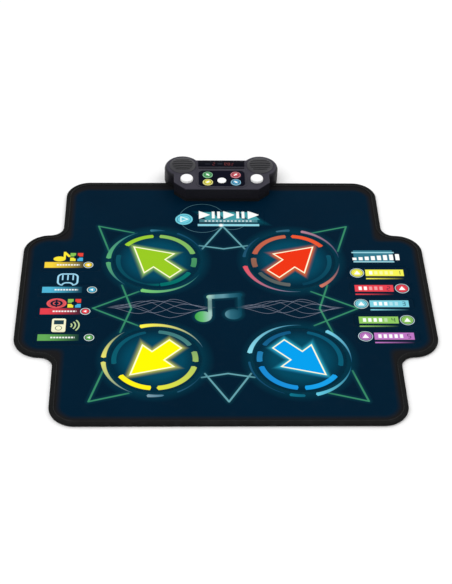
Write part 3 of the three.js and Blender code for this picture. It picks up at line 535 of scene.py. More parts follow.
OUTER_ARCS = {
    "rear_left": [
        (-176.9, -129, (84, 164, 110), (36, 96, 118), 1, 0.1),
        (-107.5, -24.5, (116, 198, 112), (28, 98, 120), 1, 0.05),
        (18, 64, (14, 64, 92), (20, 76, 104), 0.2, 0.5),
        (79.7, 97.2, (14, 62, 88), (50, 112, 134), 0.3, 0.8),
        (113, 175.9, (44, 110, 126), (86, 168, 112), 0.1, 1),
    ],
    "rear_right": [
        (-170, -82, (222, 82, 96), (70, 124, 152), 1, 0.1),
        (-56.6, -5, (204, 116, 94), (30, 80, 106), 0.9, 0.1),
        (5, 74.7, (22, 72, 104), (176, 126, 144), 0.15, 0.8),
        (89.5, 105.6, (40, 92, 116), (56, 104, 124), 0.8, 0.5),
        (130, 173, (18, 64, 92), (30, 82, 108), 0.2, 0.7),
    ],
    "front_left": [
        (-176.9, -114, (214, 216, 108), (62, 114, 142), 0.95, 0.1),
        (-97.7, -80.2, (120, 152, 166), (74, 120, 142), 0.8, 0.5),
        (-63.5, -20, (34, 84, 108), (16, 64, 92), 0.4, 0.1),
        (20, 107.5, (60, 116, 150), (250, 240, 64), 0.1, 1),
        (126.7, 175.9, (86, 124, 128), (226, 220, 104), 0.1, 0.95),
    ],
    "front_right": [
        (-176, -110, (20, 80, 112), (16, 62, 92), 0.5, 0.2),
        (-105, -87.4, (12, 112, 134), (10, 92, 116), 0.8, 0.7),
        (-75.7, -10, (96, 196, 220), (14, 84, 116), 0.9, 0.1),
        (-5, 56, (18, 84, 126), (116, 204, 226), 0.1, 0.9),
        (85, 170, (44, 116, 150), (134, 214, 230), 0.1, 0.95),
    ],
}
ARROW_INKS = {
    "rear_left": ((148, 196, 32), (0, 108, 96)), "rear_right": ((232, 52, 18), (176, 78, 42)),
    "front_left": ((255, 242, 0), (150, 140, 10)), "front_right": ((2, 156, 232), (0, 72, 124)),
}


def by_quarter(picked, right, front):
    """One colour for each arrow's quarter of the mat."""
    rear = right.choose(picked["rear_left"], picked["rear_right"])
    return front.choose(rear, right.choose(picked["front_left"], picked["front_right"]))


def number_by_quarter(picked, right, front):
    """One number for each arrow's quarter of the mat."""
    rear = right.choose_number(picked["rear_left"], picked["rear_right"])
    return front.choose_number(rear, right.choose_number(picked["front_left"], picked["front_right"]))


def arc_ring(ink, radius, angle, right, front, arcs, middle, half_width):
    """Lays a broken ring over the ink: a ramp round each quarter's ring gives its colour and width."""
    ramps = {}
    for quarter, parts in arcs.items():
        ramps[quarter] = angle.node("ShaderNodeValToRGB", {"stops": ring_stops(parts)}, {0: angle})
    widths = {quarter: Socket(ramp.tree, ramp.socket.node.outputs[1]) for quarter, ramp in ramps.items()}
    width = number_by_quarter(widths, right, front)
    colour = by_quarter(ramps, right, front)
    mask = (abs(radius - middle) - width * (half_width + 0.6) + 0.6).filled(1.0)
    return ink.over(colour, mask)


def arrow_distance(across, along):
    """The signed distance from an arrow that points along: a head and a shaft."""
    side = abs(across)
    head = (side * 0.866 + along * 0.5 - 36.9).upper(-14.4 - along)
    shaft = (side - 20.0).upper(-67.8 - along).upper(along - 20.0)
    return head.lower(shaft)


def arrows_and_rings(ink, x, y, right, front):
    """The four arrows in their glowing rings, drawn once and folded into the four quarters."""
    local_x = RING_X - abs(x)
    local_y = front.choose_number(y - RING_REAR_Y, RING_FRONT_Y - y)
    offset_x = x - right.choose_number(-RING_X, RING_X)
    offset_y = y - front.choose_number(RING_REAR_Y, RING_FRONT_Y)
    radius = (local_x * local_x + local_y * local_y).math("SQRT")
    angle = offset_y.math("ARCTAN2", offset_x) / (2 * math.pi) + 0.5
    glow = radius.span(100, 40) * 0.85
    ink = ink.over(linear(0, 86, 112), glow * radius.span(0, 60))
    halo = radius.span(132, 104) * radius.span(92, 106)
    ink = ink.over(linear(0, 62, 80), halo * 0.6)
    ink = arc_ring(ink, radius, angle, right, front, INNER_ARCS, 88.8, 6.2)
    ink = arc_ring(ink, radius, angle, right, front, OUTER_ARCS, 111.8, 5.8)
    slant = 1 / math.sqrt(2)
    along = (local_y - local_x) * slant
    across = (local_x + local_y) * slant + 3.0
    shade_y = y - front.choose_number(RING_REAR_Y, RING_FRONT_Y) + 8.0
    shade_local = front.choose_number(shade_y, -shade_y)
    shade = arrow_distance((local_x + shade_local) * slant + 3.0, (shade_local - local_x) * slant)
    inks = {quarter: linear(*pair[1]) for quarter, pair in ARROW_INKS.items()}
    strengths = {"rear_left": 0.55, "rear_right": 0.9, "front_left": 0.1, "front_right": 0.55}
    strength = number_by_quarter(strengths, right, front)
    ink = ink.over(by_quarter(inks, right, front), shade.span(5, -1) * strength)
    distance = arrow_distance(across, along)
    shine = {"rear_left": linear(170, 214, 90), "rear_right": linear(214, 104, 62),
             "front_left": linear(212, 214, 84), "front_right": linear(52, 190, 222)}
    aura = distance.span(13, 0)
    ink = ink.over(by_quarter(shine, right, front), aura * aura * 0.75)
    ink = ink.over(linear(255, 250, 214), (distance - 0.3).filled(0.9))
    inks = {quarter: linear(*pair[0]) for quarter, pair in ARROW_INKS.items()}
    return ink.over(by_quarter(inks, right, front), (distance + 2.7).filled(0.9))


def straight_lines(ink, x, y):
    """The pointed line figures round the rings, drawn once and folded about both middles."""
    folded = x.node("ShaderNodeCombineXYZ", None, {0: abs(x), 1: abs(y - FOLD_Y)})
    lines = [
        ((297, 297), (213, 272)), ((297, 297), (270, 204)), ((300, 0), (197, 58)),
        ((213, 0), (236, 80)), ((0, 298), (50, 212)), ((0, 212), (57, 224)),
    ]
    nearest = None
    for start, end in lines:
        distance = between(folded, start, end)
        nearest = distance if nearest is None else nearest.lower(distance)
    colour = abs(x).span(60, 150).choose(linear(104, 166, 176), linear(56, 140, 102))
    ink = ink.over(linear(10, 66, 78), (nearest - 5).span(5, -2) * 0.4)
    return ink.over(colour, (nearest - 2.1).filled(1.0) * 0.9)


# Each wave's swing and length in millimetres, and where in its turn it starts.
WAVES = [(32, 33, 0.4), (25, 41, 2.2), (37, 52, 4.0), (18, 27, 5.4), (30, 38, 3.1), (22, 62, 1.2)]


def waves(ink, x, y, right):
    """Fine crossing waves between the rings: each is a sine that dies away at its ends."""
    reach = x - right.choose_number(-146.0, 146.0)
    envelope = abs(reach).span(122, 20)
    nearest = None
    for swing, length, start in WAVES:
        line = (reach / length + start).math("SINE") * swing * envelope
        distance = abs(y + 50.0 - line)
        nearest = distance if nearest is None else nearest.lower(distance)
    return ink.over(linear(176, 184, 206), (nearest - 0.4).filled(1.1) * abs(reach).span(124, 96) * 0.55)


def oval(p, x, y, half_width, half_length):
    """About the signed distance from an oval."""
    local = p.vector("SUBTRACT", (x, y, 0)).vector("MULTIPLY", (1 / half_width, 1 / half_length, 0))
    return (local.vector("LENGTH", output=1) - 1) * half_length


def note(ink, p, x, y):
    """A plain pair of joined notes between the four arrows."""
    shape = oval(p, -51, -81, 19, 18).lower(oval(p, 17, -73, 19, 17))
    shape = shape.lower(boxed(p, -35.5, -46, 4.5, 34)).lower(boxed(p, 32.0, -40, 4, 34))
    shape = shape.lower(between(p, (-36, -14), (32, -7)) - 7.0)
    stops = [(0, linear(58, 160, 66)), (0.16, linear(100, 188, 112)), (0.33, linear(160, 198, 190)),
             (0.45, linear(92, 146, 156)), (0.62, linear(96, 148, 162)), (0.76, linear(44, 104, 122)),
             (1, linear(4, 66, 86))]
    fade = x.node("ShaderNodeValToRGB", {"stops": stops}, {0: x.span(-70, 36)})
    stem = y.span(-66, -52) * y.span(-14, -28)
    ink = ink.over(linear(6, 64, 80), shape.span(9, 0) * 0.6)
    return ink.over(fade, shape.filled(1.2) * (0.95 - stem * 0.5))


def start_sign(ink, p, x, y):
    """The start pad's sign: a round play button and a row of play and pause marks."""
    for radius, centre in ((55, (-49, 276)), (36, (22, 268))):
        ring = abs(round_from(p, *centre, radius)) - 0.5
        ink = ink.over(linear(120, 176, 190), ring.filled(1.0) * 0.5)
    ink = ink.over(linear(6, 84, 100), leaning(p, 22, 276, 62, 18, -0.9).span(12, -6) * 0.7)
    for middle, half_width in ((-32, 17), (18, 21), (66, 14)):
        ink = ink.over(linear(72, 168, 176), leaning(p, middle, 284, half_width, 15, -0.7).filled(1.5) * 0.75)
    step = 29.6
    column = (x + 60.0) / step
    cell = column.math("FLOOR")
    local = x.node("ShaderNodeCombineXYZ", None, {0: (column - cell - 0.5) * step, 1: y - 288.0})
    odd = cell.math("MODULO", 2.0)
    play = triangle(local, -2.5, 0, 18.5, 0)
    pause = (abs(abs(local.part(0)) - 6.5) - 3.4).upper(abs(local.part(1)) - 13.5)
    mark = odd.choose_number(play, pause).upper(abs(x - 14.0) - 74.0)
    ink = ink.over(linear(120, 196, 206), boxed(p, 14, 265, 70, 6).filled(1.0) * 0.35)
    ink = ink.over(WHITE, mark.filled(1.0))
    dash = (abs((x / 9.0).math("FRACT") - 0.5) * 9.0 - 2.6).upper(boxed(p, 14, 264, 60, 2.6))
    ink = ink.over(linear(214, 232, 236), dash.filled(0.8) * 0.8)
    ink = ink.over(linear(140, 208, 222), boxed(p, 14, 249, 74, 3.6).filled(1.0))
    ink = ink.over(WHITE, round_from(p, -4, 248, 5).span(2, -3))
    badge = round_from(p, -93, 271, 21)
    ink = ink.over(linear(112, 202, 218), badge.filled(1.0))
    ink = ink.over(linear(60, 150, 176), (abs(badge + 5.5) - 1.0).filled(0.8))
    return ink.over(linear(232, 250, 252), (abs(triangle(p, -95, 271, 11, 0)) - 1.2).filled(0.8))


def level_signs(ink, p, x, y):
    """Five level signs, with number 1 to 5 and that many pips, under a rising meter."""
    ink = ink.over(linear(66, 150, 172), boxed(p, 352, 133, 46, 21).filled(1.0) * 0.55)
    for row, width in ((146, 50), (112, 48)):
        ink = ink.over(linear(150, 206, 218), boxed(p, 352, row, width, 2.2).filled(1.0))
    step = 14.5
    column = (x - 300.0) / step
    height = column.math("FLOOR") * 1.9 + 9.0
    bar = (abs(column.math("FRACT") - 0.5) * step - 4.7).upper(abs(y - 118.0 - height * 0.5) - height * 0.5)
    ink = ink.over(WHITE, bar.upper(abs(x - 358.0) - 57.5).filled(1.0))
    row = ((LEVEL_TOP_Y - y) / LEVEL_PITCH + 0.5).math("FLOOR").upper(0.0).lower(LEVEL_COUNT - 1.0)
    odd = row.math("MODULO", 2.0)
    local_y = y - (LEVEL_TOP_Y - row * LEVEL_PITCH) + odd * 0.8
    local = x.node("ShaderNodeCombineXYZ", None, {0: x, 1: local_y})
    place = row / 4.0
    stops = [(0, linear(240, 238, 84)), (0.2, linear(226, 66, 78)), (0.45, linear(124, 204, 220)),
             (0.7, linear(140, 196, 96)), (0.95, linear(186, 116, 190))]
    colour = place.node("ShaderNodeValToRGB", {"stops": stops, "interpolation": "CONSTANT"}, {0: place})
    middle = odd.choose_number(372.5, 343.0)
    local_x = x - middle
    number_x = local_x - 33.0
    label = (abs(local_x) - 44.5).upper(abs(local_y) - 11.5)
    ink = ink.over(colour, label.filled(1.0))
    line = (abs(local_x) - 44.5).upper(abs(local_y + 20.0) - 2.0)
    ink = ink.over(colour, line.filled(1.0) * local_x.span(44, -36))
    pip = (local_x + 38.0) / 12.0
    lit = row.math("LESS_THAN", 4.0)
    pips = (abs(pip.math("FRACT") - 0.5) * 12.0 - 3.6).upper(abs(local_y) - 6.0)
    pips = pips.upper(abs(local_x + 8.0) - 30.0)
    bright = (row + 0.5).math("GREATER_THAN", pip.math("FLOOR"))
    ink = ink.over(WHITE, pips.filled(0.9) * (bright * 0.65 + 0.3))
    ink = ink.over(linear(18, 40, 60), digits(number_x, local_y, row).filled(0.9) * 0.9)
    icon_x = x - odd.choose_number(308.5, 407.5)
    ring = (icon_x * icon_x + (local_y * local_y)).math("SQRT")
    ink = ink.over(linear(206, 228, 232), (abs(ring - 15.6) - 0.8).filled(0.9) * 0.9)
    ink = ink.over(colour, (ring - 13.2).filled(0.9))
    ink = ink.over(linear(20, 44, 62), (abs(ring - 9.8) - 0.7).filled(0.8) * 0.5)
    place = x.node("ShaderNodeCombineXYZ", None, {0: icon_x, 1: local_y})
    return ink.over(WHITE, triangle(place, 0, -1.5, 8.6, 90).filled(0.9))


# Each bar of a number: its middle and half sizes, and whether it shows in the numbers 1 to 5.
SEGMENTS = {
    "top": ((0, 6.6, 2.6, 0.9), (0, 1, 1, 0, 1)), "middle": ((0, 0, 2.6, 0.9), (0, 1, 1, 1, 1)),
    "bottom": ((0, -6.6, 2.6, 0.9), (0, 1, 1, 0, 1)),
    "left_high": ((-3.1, 3.3, 0.9, 3.0), (0, 0, 0, 1, 1)),
    "right_high": ((3.1, 3.3, 0.9, 3.0), (1, 1, 1, 1, 0)),
    "left_low": ((-3.1, -3.3, 0.9, 3.0), (0, 1, 0, 0, 0)),
    "right_low": ((3.1, -3.3, 0.9, 3.0), (1, 0, 1, 1, 1)),
}


def digits(x, y, row):
    """The numbers 1 to 5 in seven bars each, the number being one more than the row."""
    shape = None
    for (middle_x, middle_y, half_width, half_length), lit in SEGMENTS.values():
        bar = (abs(x - middle_x) - half_width).upper(abs(y - middle_y) - half_length)
        stops = [((i - 0.5) / 5 if i else 0, (on, on, on, 1)) for i, on in enumerate(lit)]
        on = row.node("ShaderNodeValToRGB", {"stops": stops, "interpolation": "CONSTANT"}, {0: row / 5.0})
        bar = bar + (1.0 - on.part(0)) * 9.0
        shape = bar if shape is None else shape.lower(bar)
    return shape


# Each mode sign's height on the mat, its button's place and its colour.
MODE_ROWS = [
    (98.5, -316, (240, 206, 60)), (10, -304, (76, 174, 206)),
    (-64, -316, (222, 62, 74)), (-151, -304, (96, 164, 84)),
]


def tiles(ink, p, x, y):
    """Four small coloured arrow tiles round a middle."""
    for side_x, side_y, colour in ((-1, 1, (132, 190, 80)), (1, 1, (224, 64, 52)),
                                   (-1, -1, (236, 226, 60)), (1, -1, (70, 170, 214))):
        square = boxed(p, x + side_x * 8.5, y + side_y * 8.5, 6.4, 6.4)
        notch = round_from(p, x + side_x * 2.6, y + side_y * 2.6, 3.4)
        ink = ink.over(linear(*colour), square.upper(-notch).filled(1.0))
    return ink


def mode_signs(ink, p, x, y):
    """Four mode signs: a fading bar with a round button, and a small picture over each."""
    for middle, icon_x, colour in MODE_ROWS:
        bar = boxed(p, -372, middle, 45.5, 10.5)
        ink = ink.over(linear(*colour), bar.filled(1.0) * x.span(-322, -400))
        dashes = (abs((x / 6.5).math("FRACT") - 0.5) * 6.5 - 2.3).upper(boxed(p, -363, middle, 27, 2.4))
        ink = ink.over(WHITE, dashes.filled(0.9) * 0.85)
        button = round_from(p, icon_x, middle, 10.5)
        ink = ink.over(linear(214, 230, 228), (abs(button) - 0.8).filled(0.9))
        ink = ink.over(linear(*colour), (button + 2.6).filled(0.9))
        ink = ink.over(WHITE, triangle(p, icon_x, middle, 4.6, 180).filled(0.9))
    yellow = linear(246, 226, 54)
    ink = ink.over(yellow, oval(p, -384, 121, 14, 9).lower(boxed(p, -372.5, 134, 2.6, 13)).filled(1.0))
    ink = ink.over(yellow, (between(p, (-372, 144), (-362, 131)) - 3.0).filled(1.0))
    ink = tiles(ink, p, -344.5, 128)
    light_blue = linear(158, 214, 238)
    drum = cushion(p, -361, 47, 24, 21, 13).upper(-cushion(p, -361, 16, 12, 18, 10))
    gaps = (abs(((x + 361.0) / 12.0 + 0.5).math("FRACT") - 0.5) * 12.0 - 1.6).upper(boxed(p, -361, 54, 17, 9))
    ink = ink.over(light_blue, (abs(drum + 1.5) - 2.0).lower(gaps).filled(1.0))
    pink = linear(226, 88, 92)
    head = oval(p, -382, -36, 20, 15)
    ink = ink.over(pink, (abs(head) - 1.8).filled(1.0))
    curl = abs((head / 6.5).math("FRACT") - 0.5) * 6.5 - 1.1
    ink = ink.over(pink, curl.upper(head).upper(-(abs(x + 382.0) - 2.0)).filled(1.0) * 0.9)
    ink = tiles(ink, p, -342, -36)
    cream = linear(240, 238, 202)
    player = cushion(p, -373, -110, 15.5, 22.5, 5)
    ink = ink.over(cream, player.filled(1.0))
    ink = ink.over(linear(30, 60, 70), boxed(p, -373, -100, 11, 7).filled(1.0))
    ink = ink.over(linear(90, 110, 100), (abs(round_from(p, -373, -119, 7)) - 0.9).filled(0.9))
    for radius in (8, 16, 24):
        ripple = (abs(round_from(p, -352, -110, radius)) - 1.6).upper(abs(y + 110.0) - (x + 352.0))
        ink = ink.over(linear(186, 208, 150), ripple.filled(1.0))
    return ink


def edge_distance(p):
    """How far inside the mat a point lies: the deeper of two rounded rectangles, softly joined."""
    def rounded(half_width, half_length, corner):
        """How far inside a rounded rectangle about the middle."""
        beyond = p.vector("ABSOLUTE").vector("SUBTRACT", (half_width - corner, half_length - corner, 0))
        outside = beyond.vector("MAXIMUM", (0, 0, 0)).vector("LENGTH", output=1)
        return corner - outside - beyond.part(0).upper(beyond.part(1)).lower(0.0)
    body = rounded(NECK_WIDTH / 2, MAT_LENGTH / 2, OUTER_RADIUS)
    band = rounded(MAT_WIDTH / 2, BAND_LENGTH / 2, BAND_RADIUS)
    return body.node("ShaderNodeMath", {"operation": "SMOOTH_MAX"}, {0: body, 1: band, 2: 30.0})


def print_material():
    """Printed vinyl: the ink's colours, a satin face with a fine weave, and faint rubbed places."""
    material, place, shader = new_material("printed_cover")
    p = place.vector("MULTIPLY", (1, 1, 0))
    x, y = p.part(0), p.part(1)
    right, front = x.above(0.0), y.math("LESS_THAN", FOLD_Y)
    cloud = noise(p, 0.006, 3)
    ink = cloud.choose(linear(0, 24, 42), linear(0, 31, 51))
    ink = straight_lines(ink, x, y)
    ink = waves(ink, x, y, right)
    ink = arrows_and_rings(ink, x, y, right, front)
    ink = note(ink, p, x, y)
    ink = start_sign(ink, p, x, y)
    ink = level_signs(ink, p, x, y)
    ink = mode_signs(ink, p, x, y)
    rear = y.span(360, 400) * 13.0
    ink = ink.over(BLACK_INK, (edge_distance(p) - rear).span(27, 15))
    rubbed = noise(p, 0.035, 5).span(0.56, 0.72)
    ink = ink.over(linear(120, 128, 136), rubbed * 0.006)
    weave = ((x * 3.6).math("SINE") * (y * 3.6).math("SINE")) * 0.5 + 0.5
    slack = noise(p, 0.011, 2)
    normal = bump(slack, 0.0016, 0.35)
    threads = {"Strength": 0.16, "Distance": 0.0002, "Height": weave, "Normal": normal}
    fine = weave.node("ShaderNodeBump", None, threads)
    finish_material(p, shader, Base_Color=ink, Roughness=rubbed * 0.12 + 0.5, Normal=fine)
    shader.inputs["Specular IOR Level"].default_value = 0.012
    return material


PRINT = print_material()
cover.data.materials.append(PRINT)

# ------------------------------------------------------------------ press pads
# Each pad is a low cushion of the same printed vinyl. Its rim is welded to the cover, and
# its middle follows the sprung plate under it, so the print has no gap when it is pressed.

PAD_RISE, PAD_SLOPE, PAD_UNDERSIDE = 0.8, 12.0, 6.25
PAD_BLEND = (7.2, 7.9)


def press_pad(name, x, y, half_width, half_length, corner):
    """Rings of a rounded outline that shrink to the middle and rise along a smooth slope, over a flat
    underside. The outermost ring stays with the cover and the middle goes with the plate below."""
    insets = np.array([0, 1.5, 3, 5, 7.5, 10, PAD_SLOPE])
    rise = insets / PAD_SLOPE
    rise = PAD_RISE * rise * rise * (3 - 2 * rise)
    rows = [pad_edge(x, y, half_width, half_length, corner, inset) for inset in insets]
    shares = (0.7, 0.4, 0.15)
    rows += [(x, y) + (rows[-1] - (x, y)) * share for share in shares]
    rows = np.array(rows)
    count, around = rows.shape[:2]
    base = cover_height(rows.reshape(-1, 2)).reshape(count, around)
    share = np.concatenate([rise, [PAD_RISE] * len(shares)])[:, None] / PAD_RISE
    height = base + share * (COVER_TOP + PAD_RISE - base)
    top = np.concatenate([rows, height[..., None]], 2).reshape(-1, 3)
    under = np.column_stack([rows[0], np.full(around, PAD_UNDERSIDE)])
    poles = [[x, y, COVER_TOP + PAD_RISE], [x, y, PAD_UNDERSIDE]]
    points = np.concatenate([top, under, poles])
    first_under, pole = len(top), len(top) + around
    j = np.arange(around)
    k = (j + 1) % around
    last = (count - 1) * around
    faces = [
        rings(count, around),
        np.stack([last + j, last + k, np.full(around, pole)], 1),
        np.stack([first_under + j, first_under + k, k, j], 1),
        np.stack([first_under + k, first_under + j, np.full(around, pole + 1)], 1),
    ]
    pad = surface(f"printed_{name}", points, faces)
    pad.data.materials.append(PRINT)
    body = f"{name}_body"
    low, high = ((x * MM, y * MM, height * MM) for height in PAD_BLEND)
    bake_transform(pad, "root", body, start=low, end=high)
    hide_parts(name)
    return pad


pads = [press_pad(name, *outline) for name, outline in PADS.items()]

# ------------------------------------------------------------------ edge tape
# A woven black tape folded over the mat's edge and sewn through near its inner lip with a
# row of thread on each face.

STITCH_PITCH, STITCH_INSET, STITCH_LENGTH = 4.0, 10.2, 3.1


def tape_profile():
    """The tape's section as pairs of inset and height: two lips with soft edges round an open fold."""
    below = [(13, 0.15), (12.6, 0), (10.6, 0.1), (10.2, 0.25), (9.8, 0.1), (6, 0), (2.4, 0.0), (1.2, 0.35)]
    fold = [(0.35, 1.4), (0, 2.8), (0, 5.2), (0.35, 6.6)]
    above = [(1.2, 7.6), (2.6, 8.0), (6, 8.05), (9.6, 7.9), (10.2, 7.7), (10.8, 7.9), (12.5, 7.95), (13, 7.7)]
    within = [(13, 7.22), (7, 7.2), (1.6, 7.0), (1.1, 6), (1.1, 2), (1.6, 1.0), (7, 0.8), (13, 0.8)]
    return np.array(below + fold + above + within)


def edge_tape():
    """The tape's section carried round the mat's edge, with small puckers in its upper half."""
    profile = tape_profile()
    base = filled_in(mat_edge(0), 6)
    owner = filled_in(np.column_stack([mat_edge(0), mat_edge(10)]), 6)
    inward = (owner[:, 2:] - owner[:, :2]) / 10
    inward /= np.linalg.norm(inward, axis=1)[:, None]
    run = np.linalg.norm(np.roll(base, -1, 0) - base, axis=1)
    along = np.concatenate([[0], np.cumsum(run)[:-1]])
    pucker = 0.06 * np.sin(along * 2 * math.pi / 23) * np.sin(along / 61)
    flat = base[None] + profile[:, 0, None, None] * inward[None]
    height = profile[:, 1, None] + pucker[None] * (profile[:, 1, None] > 4)
    points = np.concatenate([flat, height[..., None]], 2)
    around = len(base)
    faces = rings(len(profile) + 1, around) % (len(profile) * around)
    tape = surface("edge_tape", points.reshape(-1, 3), [faces[:, ::-1]])
    return tape, base, inward, along, run.sum()


def capsule(along_steps=5, around_steps=6):
    """A unit stitch along X: rings of a round bar whose ends close to points, from -0.5 to 0.5."""
    t = np.linspace(-1, 1, along_steps + 2)
    radius = np.sqrt(np.clip(1 - t**4, 0, 1))
    angle = np.arange(around_steps) / around_steps * 2 * math.pi
    x = np.repeat(t / 2, around_steps)
    y = np.outer(radius, np.cos(angle)).ravel()
    z = np.outer(radius, np.sin(angle)).ravel()
    return np.stack([x, y, z], 1), rings(along_steps + 2, around_steps)


def stitches(name, base, inward, along, length, height):
    """Copies of one stitch at an even pitch along the tape, turned to follow it and a little slanted."""
    count = int(length / STITCH_PITCH)
    at = (np.arange(count) + 0.5) * length / count
    wrapped = np.append(along, length)
    line = np.vstack([base + inward * STITCH_INSET, (base + inward * STITCH_INSET)[:1]])
    centre = np.stack([np.interp(at, wrapped, line[:, i]) for i in range(2)], 1)
    ahead = np.stack([np.interp((at + 1.5) % length, wrapped, line[:, i]) for i in range(2)], 1)
    run = ahead - centre
    run /= np.linalg.norm(run, axis=1)[:, None]
    unit, faces = capsule()
    side = np.stack([-run[:, 1], run[:, 0]], 1)
    x = unit[:, 0] * STITCH_LENGTH
    y = unit[:, 1] * 0.38 + unit[:, 0] * 0.25
    flat = centre[:, None] + x[None, :, None] * run[:, None] + y[None, :, None] * side[:, None]
    z = np.broadcast_to(height + unit[:, 2] * 0.3, flat.shape[:2])
    points = np.concatenate([flat, z[..., None]], 2).reshape(-1, 3)
    every = (faces[None] + (np.arange(count) * len(unit))[:, None, None]).reshape(-1, 4)
    return surface(name, points, [every])


def woven_tape():
    """Black woven tape: a fine twill of slanting threads, dusty in places."""
    material, place, shader = new_material("edge_tape")
    x, y = place.part(0), place.part(1)
    twill = ((x + y) * 3.1).math("SINE") * 0.5 + 0.5
    cross = ((x - y) * 6.2).math("SINE") * 0.5 + 0.5
    thread = twill * 0.7 + cross * 0.3
    dust = noise(place, 0.05, 4).span(0.5, 0.75)
    colour = thread.choose(linear(8, 9, 9), linear(19, 20, 20)).over(linear(46, 46, 48), dust * 0.3)
    normal = bump(thread, 0.0003, 0.6)
    finish_material(place, shader, Base_Color=colour, Roughness=dust * 0.15 + 0.72, Normal=normal)
    shader.inputs["Specular IOR Level"].default_value = 0.1
    return material


def thread_material():
    """Dark sewing thread with a slanting twist."""
    material, place, shader = new_material("stitch_thread")
    twist = ((place.part(0) + place.part(1)) * 9.0).math("SINE") * 0.5 + 0.5
    colour = twist.choose(linear(24, 24, 26), linear(52, 52, 55))
    normal = bump(twist, 0.0001, 0.5)
    finish_material(place, shader, Base_Color=colour, Roughness=twist * 0.1 + 0.55, Normal=normal)
    return material


tape, tape_base, tape_inward, tape_along, tape_length = edge_tape()
tape.data.materials.append(woven_tape())
thread = thread_material()
for seam_name, seam_height in (("stitching_top", 7.95), ("stitching_bottom", 0.3)):
    seam = stitches(seam_name, tape_base, tape_inward, tape_along, tape_length, seam_height)
    seam.data.materials.append(thread)
    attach(seam, "root")
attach(tape, "root")
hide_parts("edge_binding")
tape_length * MM

# ------------------------------------------------------------------ backing and inner layers
# Under the mat lies a dark non-slip cloth with rubber dots. Foam and two printed circuit
# films lie between it and the cover, and are held by the tape all round.


BACKING_THICKNESS, BACKING_AREA = 0.8, 0.66


def backing_sheet():
    """A flat sheet a little inside the tape's lower lip, on the floor."""
    outline = filled_in(mat_edge(TAPE_WIDTH + 0.3), 20)
    screws = [pad_edge(side * 62, 393, 4.3, 4.3, 4.3, steps=24) for side in (-1, 1)]
    flat, faces = plate([outline, *screws], spacing=30)
    points = np.column_stack([flat, np.full(len(flat), BACKING_THICKNESS)])
    sheet = surface("non_slip_backing_cloth", points, [faces], smooth=False)
    wall = sheet.modifiers.new("thickness", "SOLIDIFY")
    wall.thickness, wall.offset = BACKING_THICKNESS * MM, -1
    return sheet


def dotted_cloth():
    """Coarse dark cloth with a grid of round rubber dots that grip the floor."""
    material, place, shader = new_material("non_slip_cloth")
    x, y = place.part(0), place.part(1)
    row = (y / 7.0).math("FLOOR")
    shift = row.math("MODULO", 2.0) * 4.0
    dot_x = (((x + shift) / 8.0).math("FRACT") - 0.5) * 8.0
    dot_y = ((y / 7.0).math("FRACT") - 0.5) * 7.0
    dot = ((dot_x * dot_x + dot_y * dot_y).math("SQRT") - 1.7).filled(0.5)
    weave = (x * 4.2).math("SINE") * (y * 4.2).math("SINE") * 0.5 + 0.5
    wear = noise(place, 0.02, 4).span(0.45, 0.75)
    cloth = weave.choose(linear(24, 25, 28), linear(44, 45, 49)).over(linear(84, 84, 86), wear * 0.25)
    colour = cloth.over(linear(14, 14, 15), dot)
    height = weave * 0.2 + dot * 0.8
    normal = bump(height, 0.0006, 0.7)
    finish_material(place, shader, Base_Color=colour, Roughness=dot * -0.3 + 0.9, Normal=normal)
    return material


backing = backing_sheet()
backing.data.materials.append(dotted_cloth())
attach(backing, "root")
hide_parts("non_slip_backing")


def foam_material():
    """Grey closed-cell foam: small pits in a dull face."""
    material, place, shader = new_material("grey_foam")
    pits = place.node("ShaderNodeTexVoronoi", None, {"Vector": place, "Scale": 1.1})
    colour = pits.choose(linear(78, 80, 84), linear(116, 118, 122))
    normal = bump(pits, 0.0004, 0.6)
    finish_material(place, shader, Base_Color=colour, Roughness=pits * 0.1 + 0.85, Normal=normal)
    return material


def film_material():
    """Clear film with a printed grid of dark carbon tracks."""
    material, place, shader = new_material("circuit_film")
    x, y = place.part(0), place.part(1)
    track_x = abs((x / 12.0).math("FRACT") - 0.5) * 12.0
    track_y = abs((y / 12.0).math("FRACT") - 0.5) * 12.0
    track = (track_x.lower(track_y) - 0.9).filled(0.4)
    cloud = noise(place, 0.08, 3)
    colour = cloud.choose(linear(188, 194, 198), linear(214, 218, 221)).over(linear(46, 48, 52), track)
    finish_material(place, shader, Base_Color=colour, Roughness=track * 0.3 + 0.28)
    return material


def paint(material, *names):
    """Gives CAD nodes one material in every slot."""
    for name in names:
        slots = frame["nodes"][name].data.materials
        slots.clear()
        slots.append(material)


foam = foam_material()
paint(foam, "foam_base", "foam_spacer")
paint(film_material(), "lower_circuit_film", "upper_circuit_film", "ribbon_tail")

# ------------------------------------------------------------------ control box shells
# Two moulded shells with a spark-finished face, screwed together from below: a block with
# cut front corners, and a round speaker drum with a soft shoulder at each rear corner.

BOX_FRONT, BOX_HALF, BOX_CUT, BOX_TOP = 343.0, 117.5, 28.5, 44.5
PARTING, BOX_EDGE = 16.0, 1.5
POD_X, POD_Y, POD_RADIUS, SHOULDER_WIDTH, SHOULDER_DEPTH = 96.0, 439.5, 44.5, 8.0, 10.0
REAR_WALL = 462.5
GRILLE_RADIUS, DOME_X, DOME_Y, DOME_RADIUS = 32.7, 86.0, 381.0, 15.4
WINDOW, PANEL, GROOVE = (-57.8, 434.8, 57.8, 459.6, 2), (-57, 355, 57, 418.5, 12), (-57, 427, 57, 430.5, 1.2)
SEAT_FLOOR, GROOVE_FLOOR, HOLE_FLOOR, SEAT_GAP = 42.5, 43.5, 41.5, 0.3


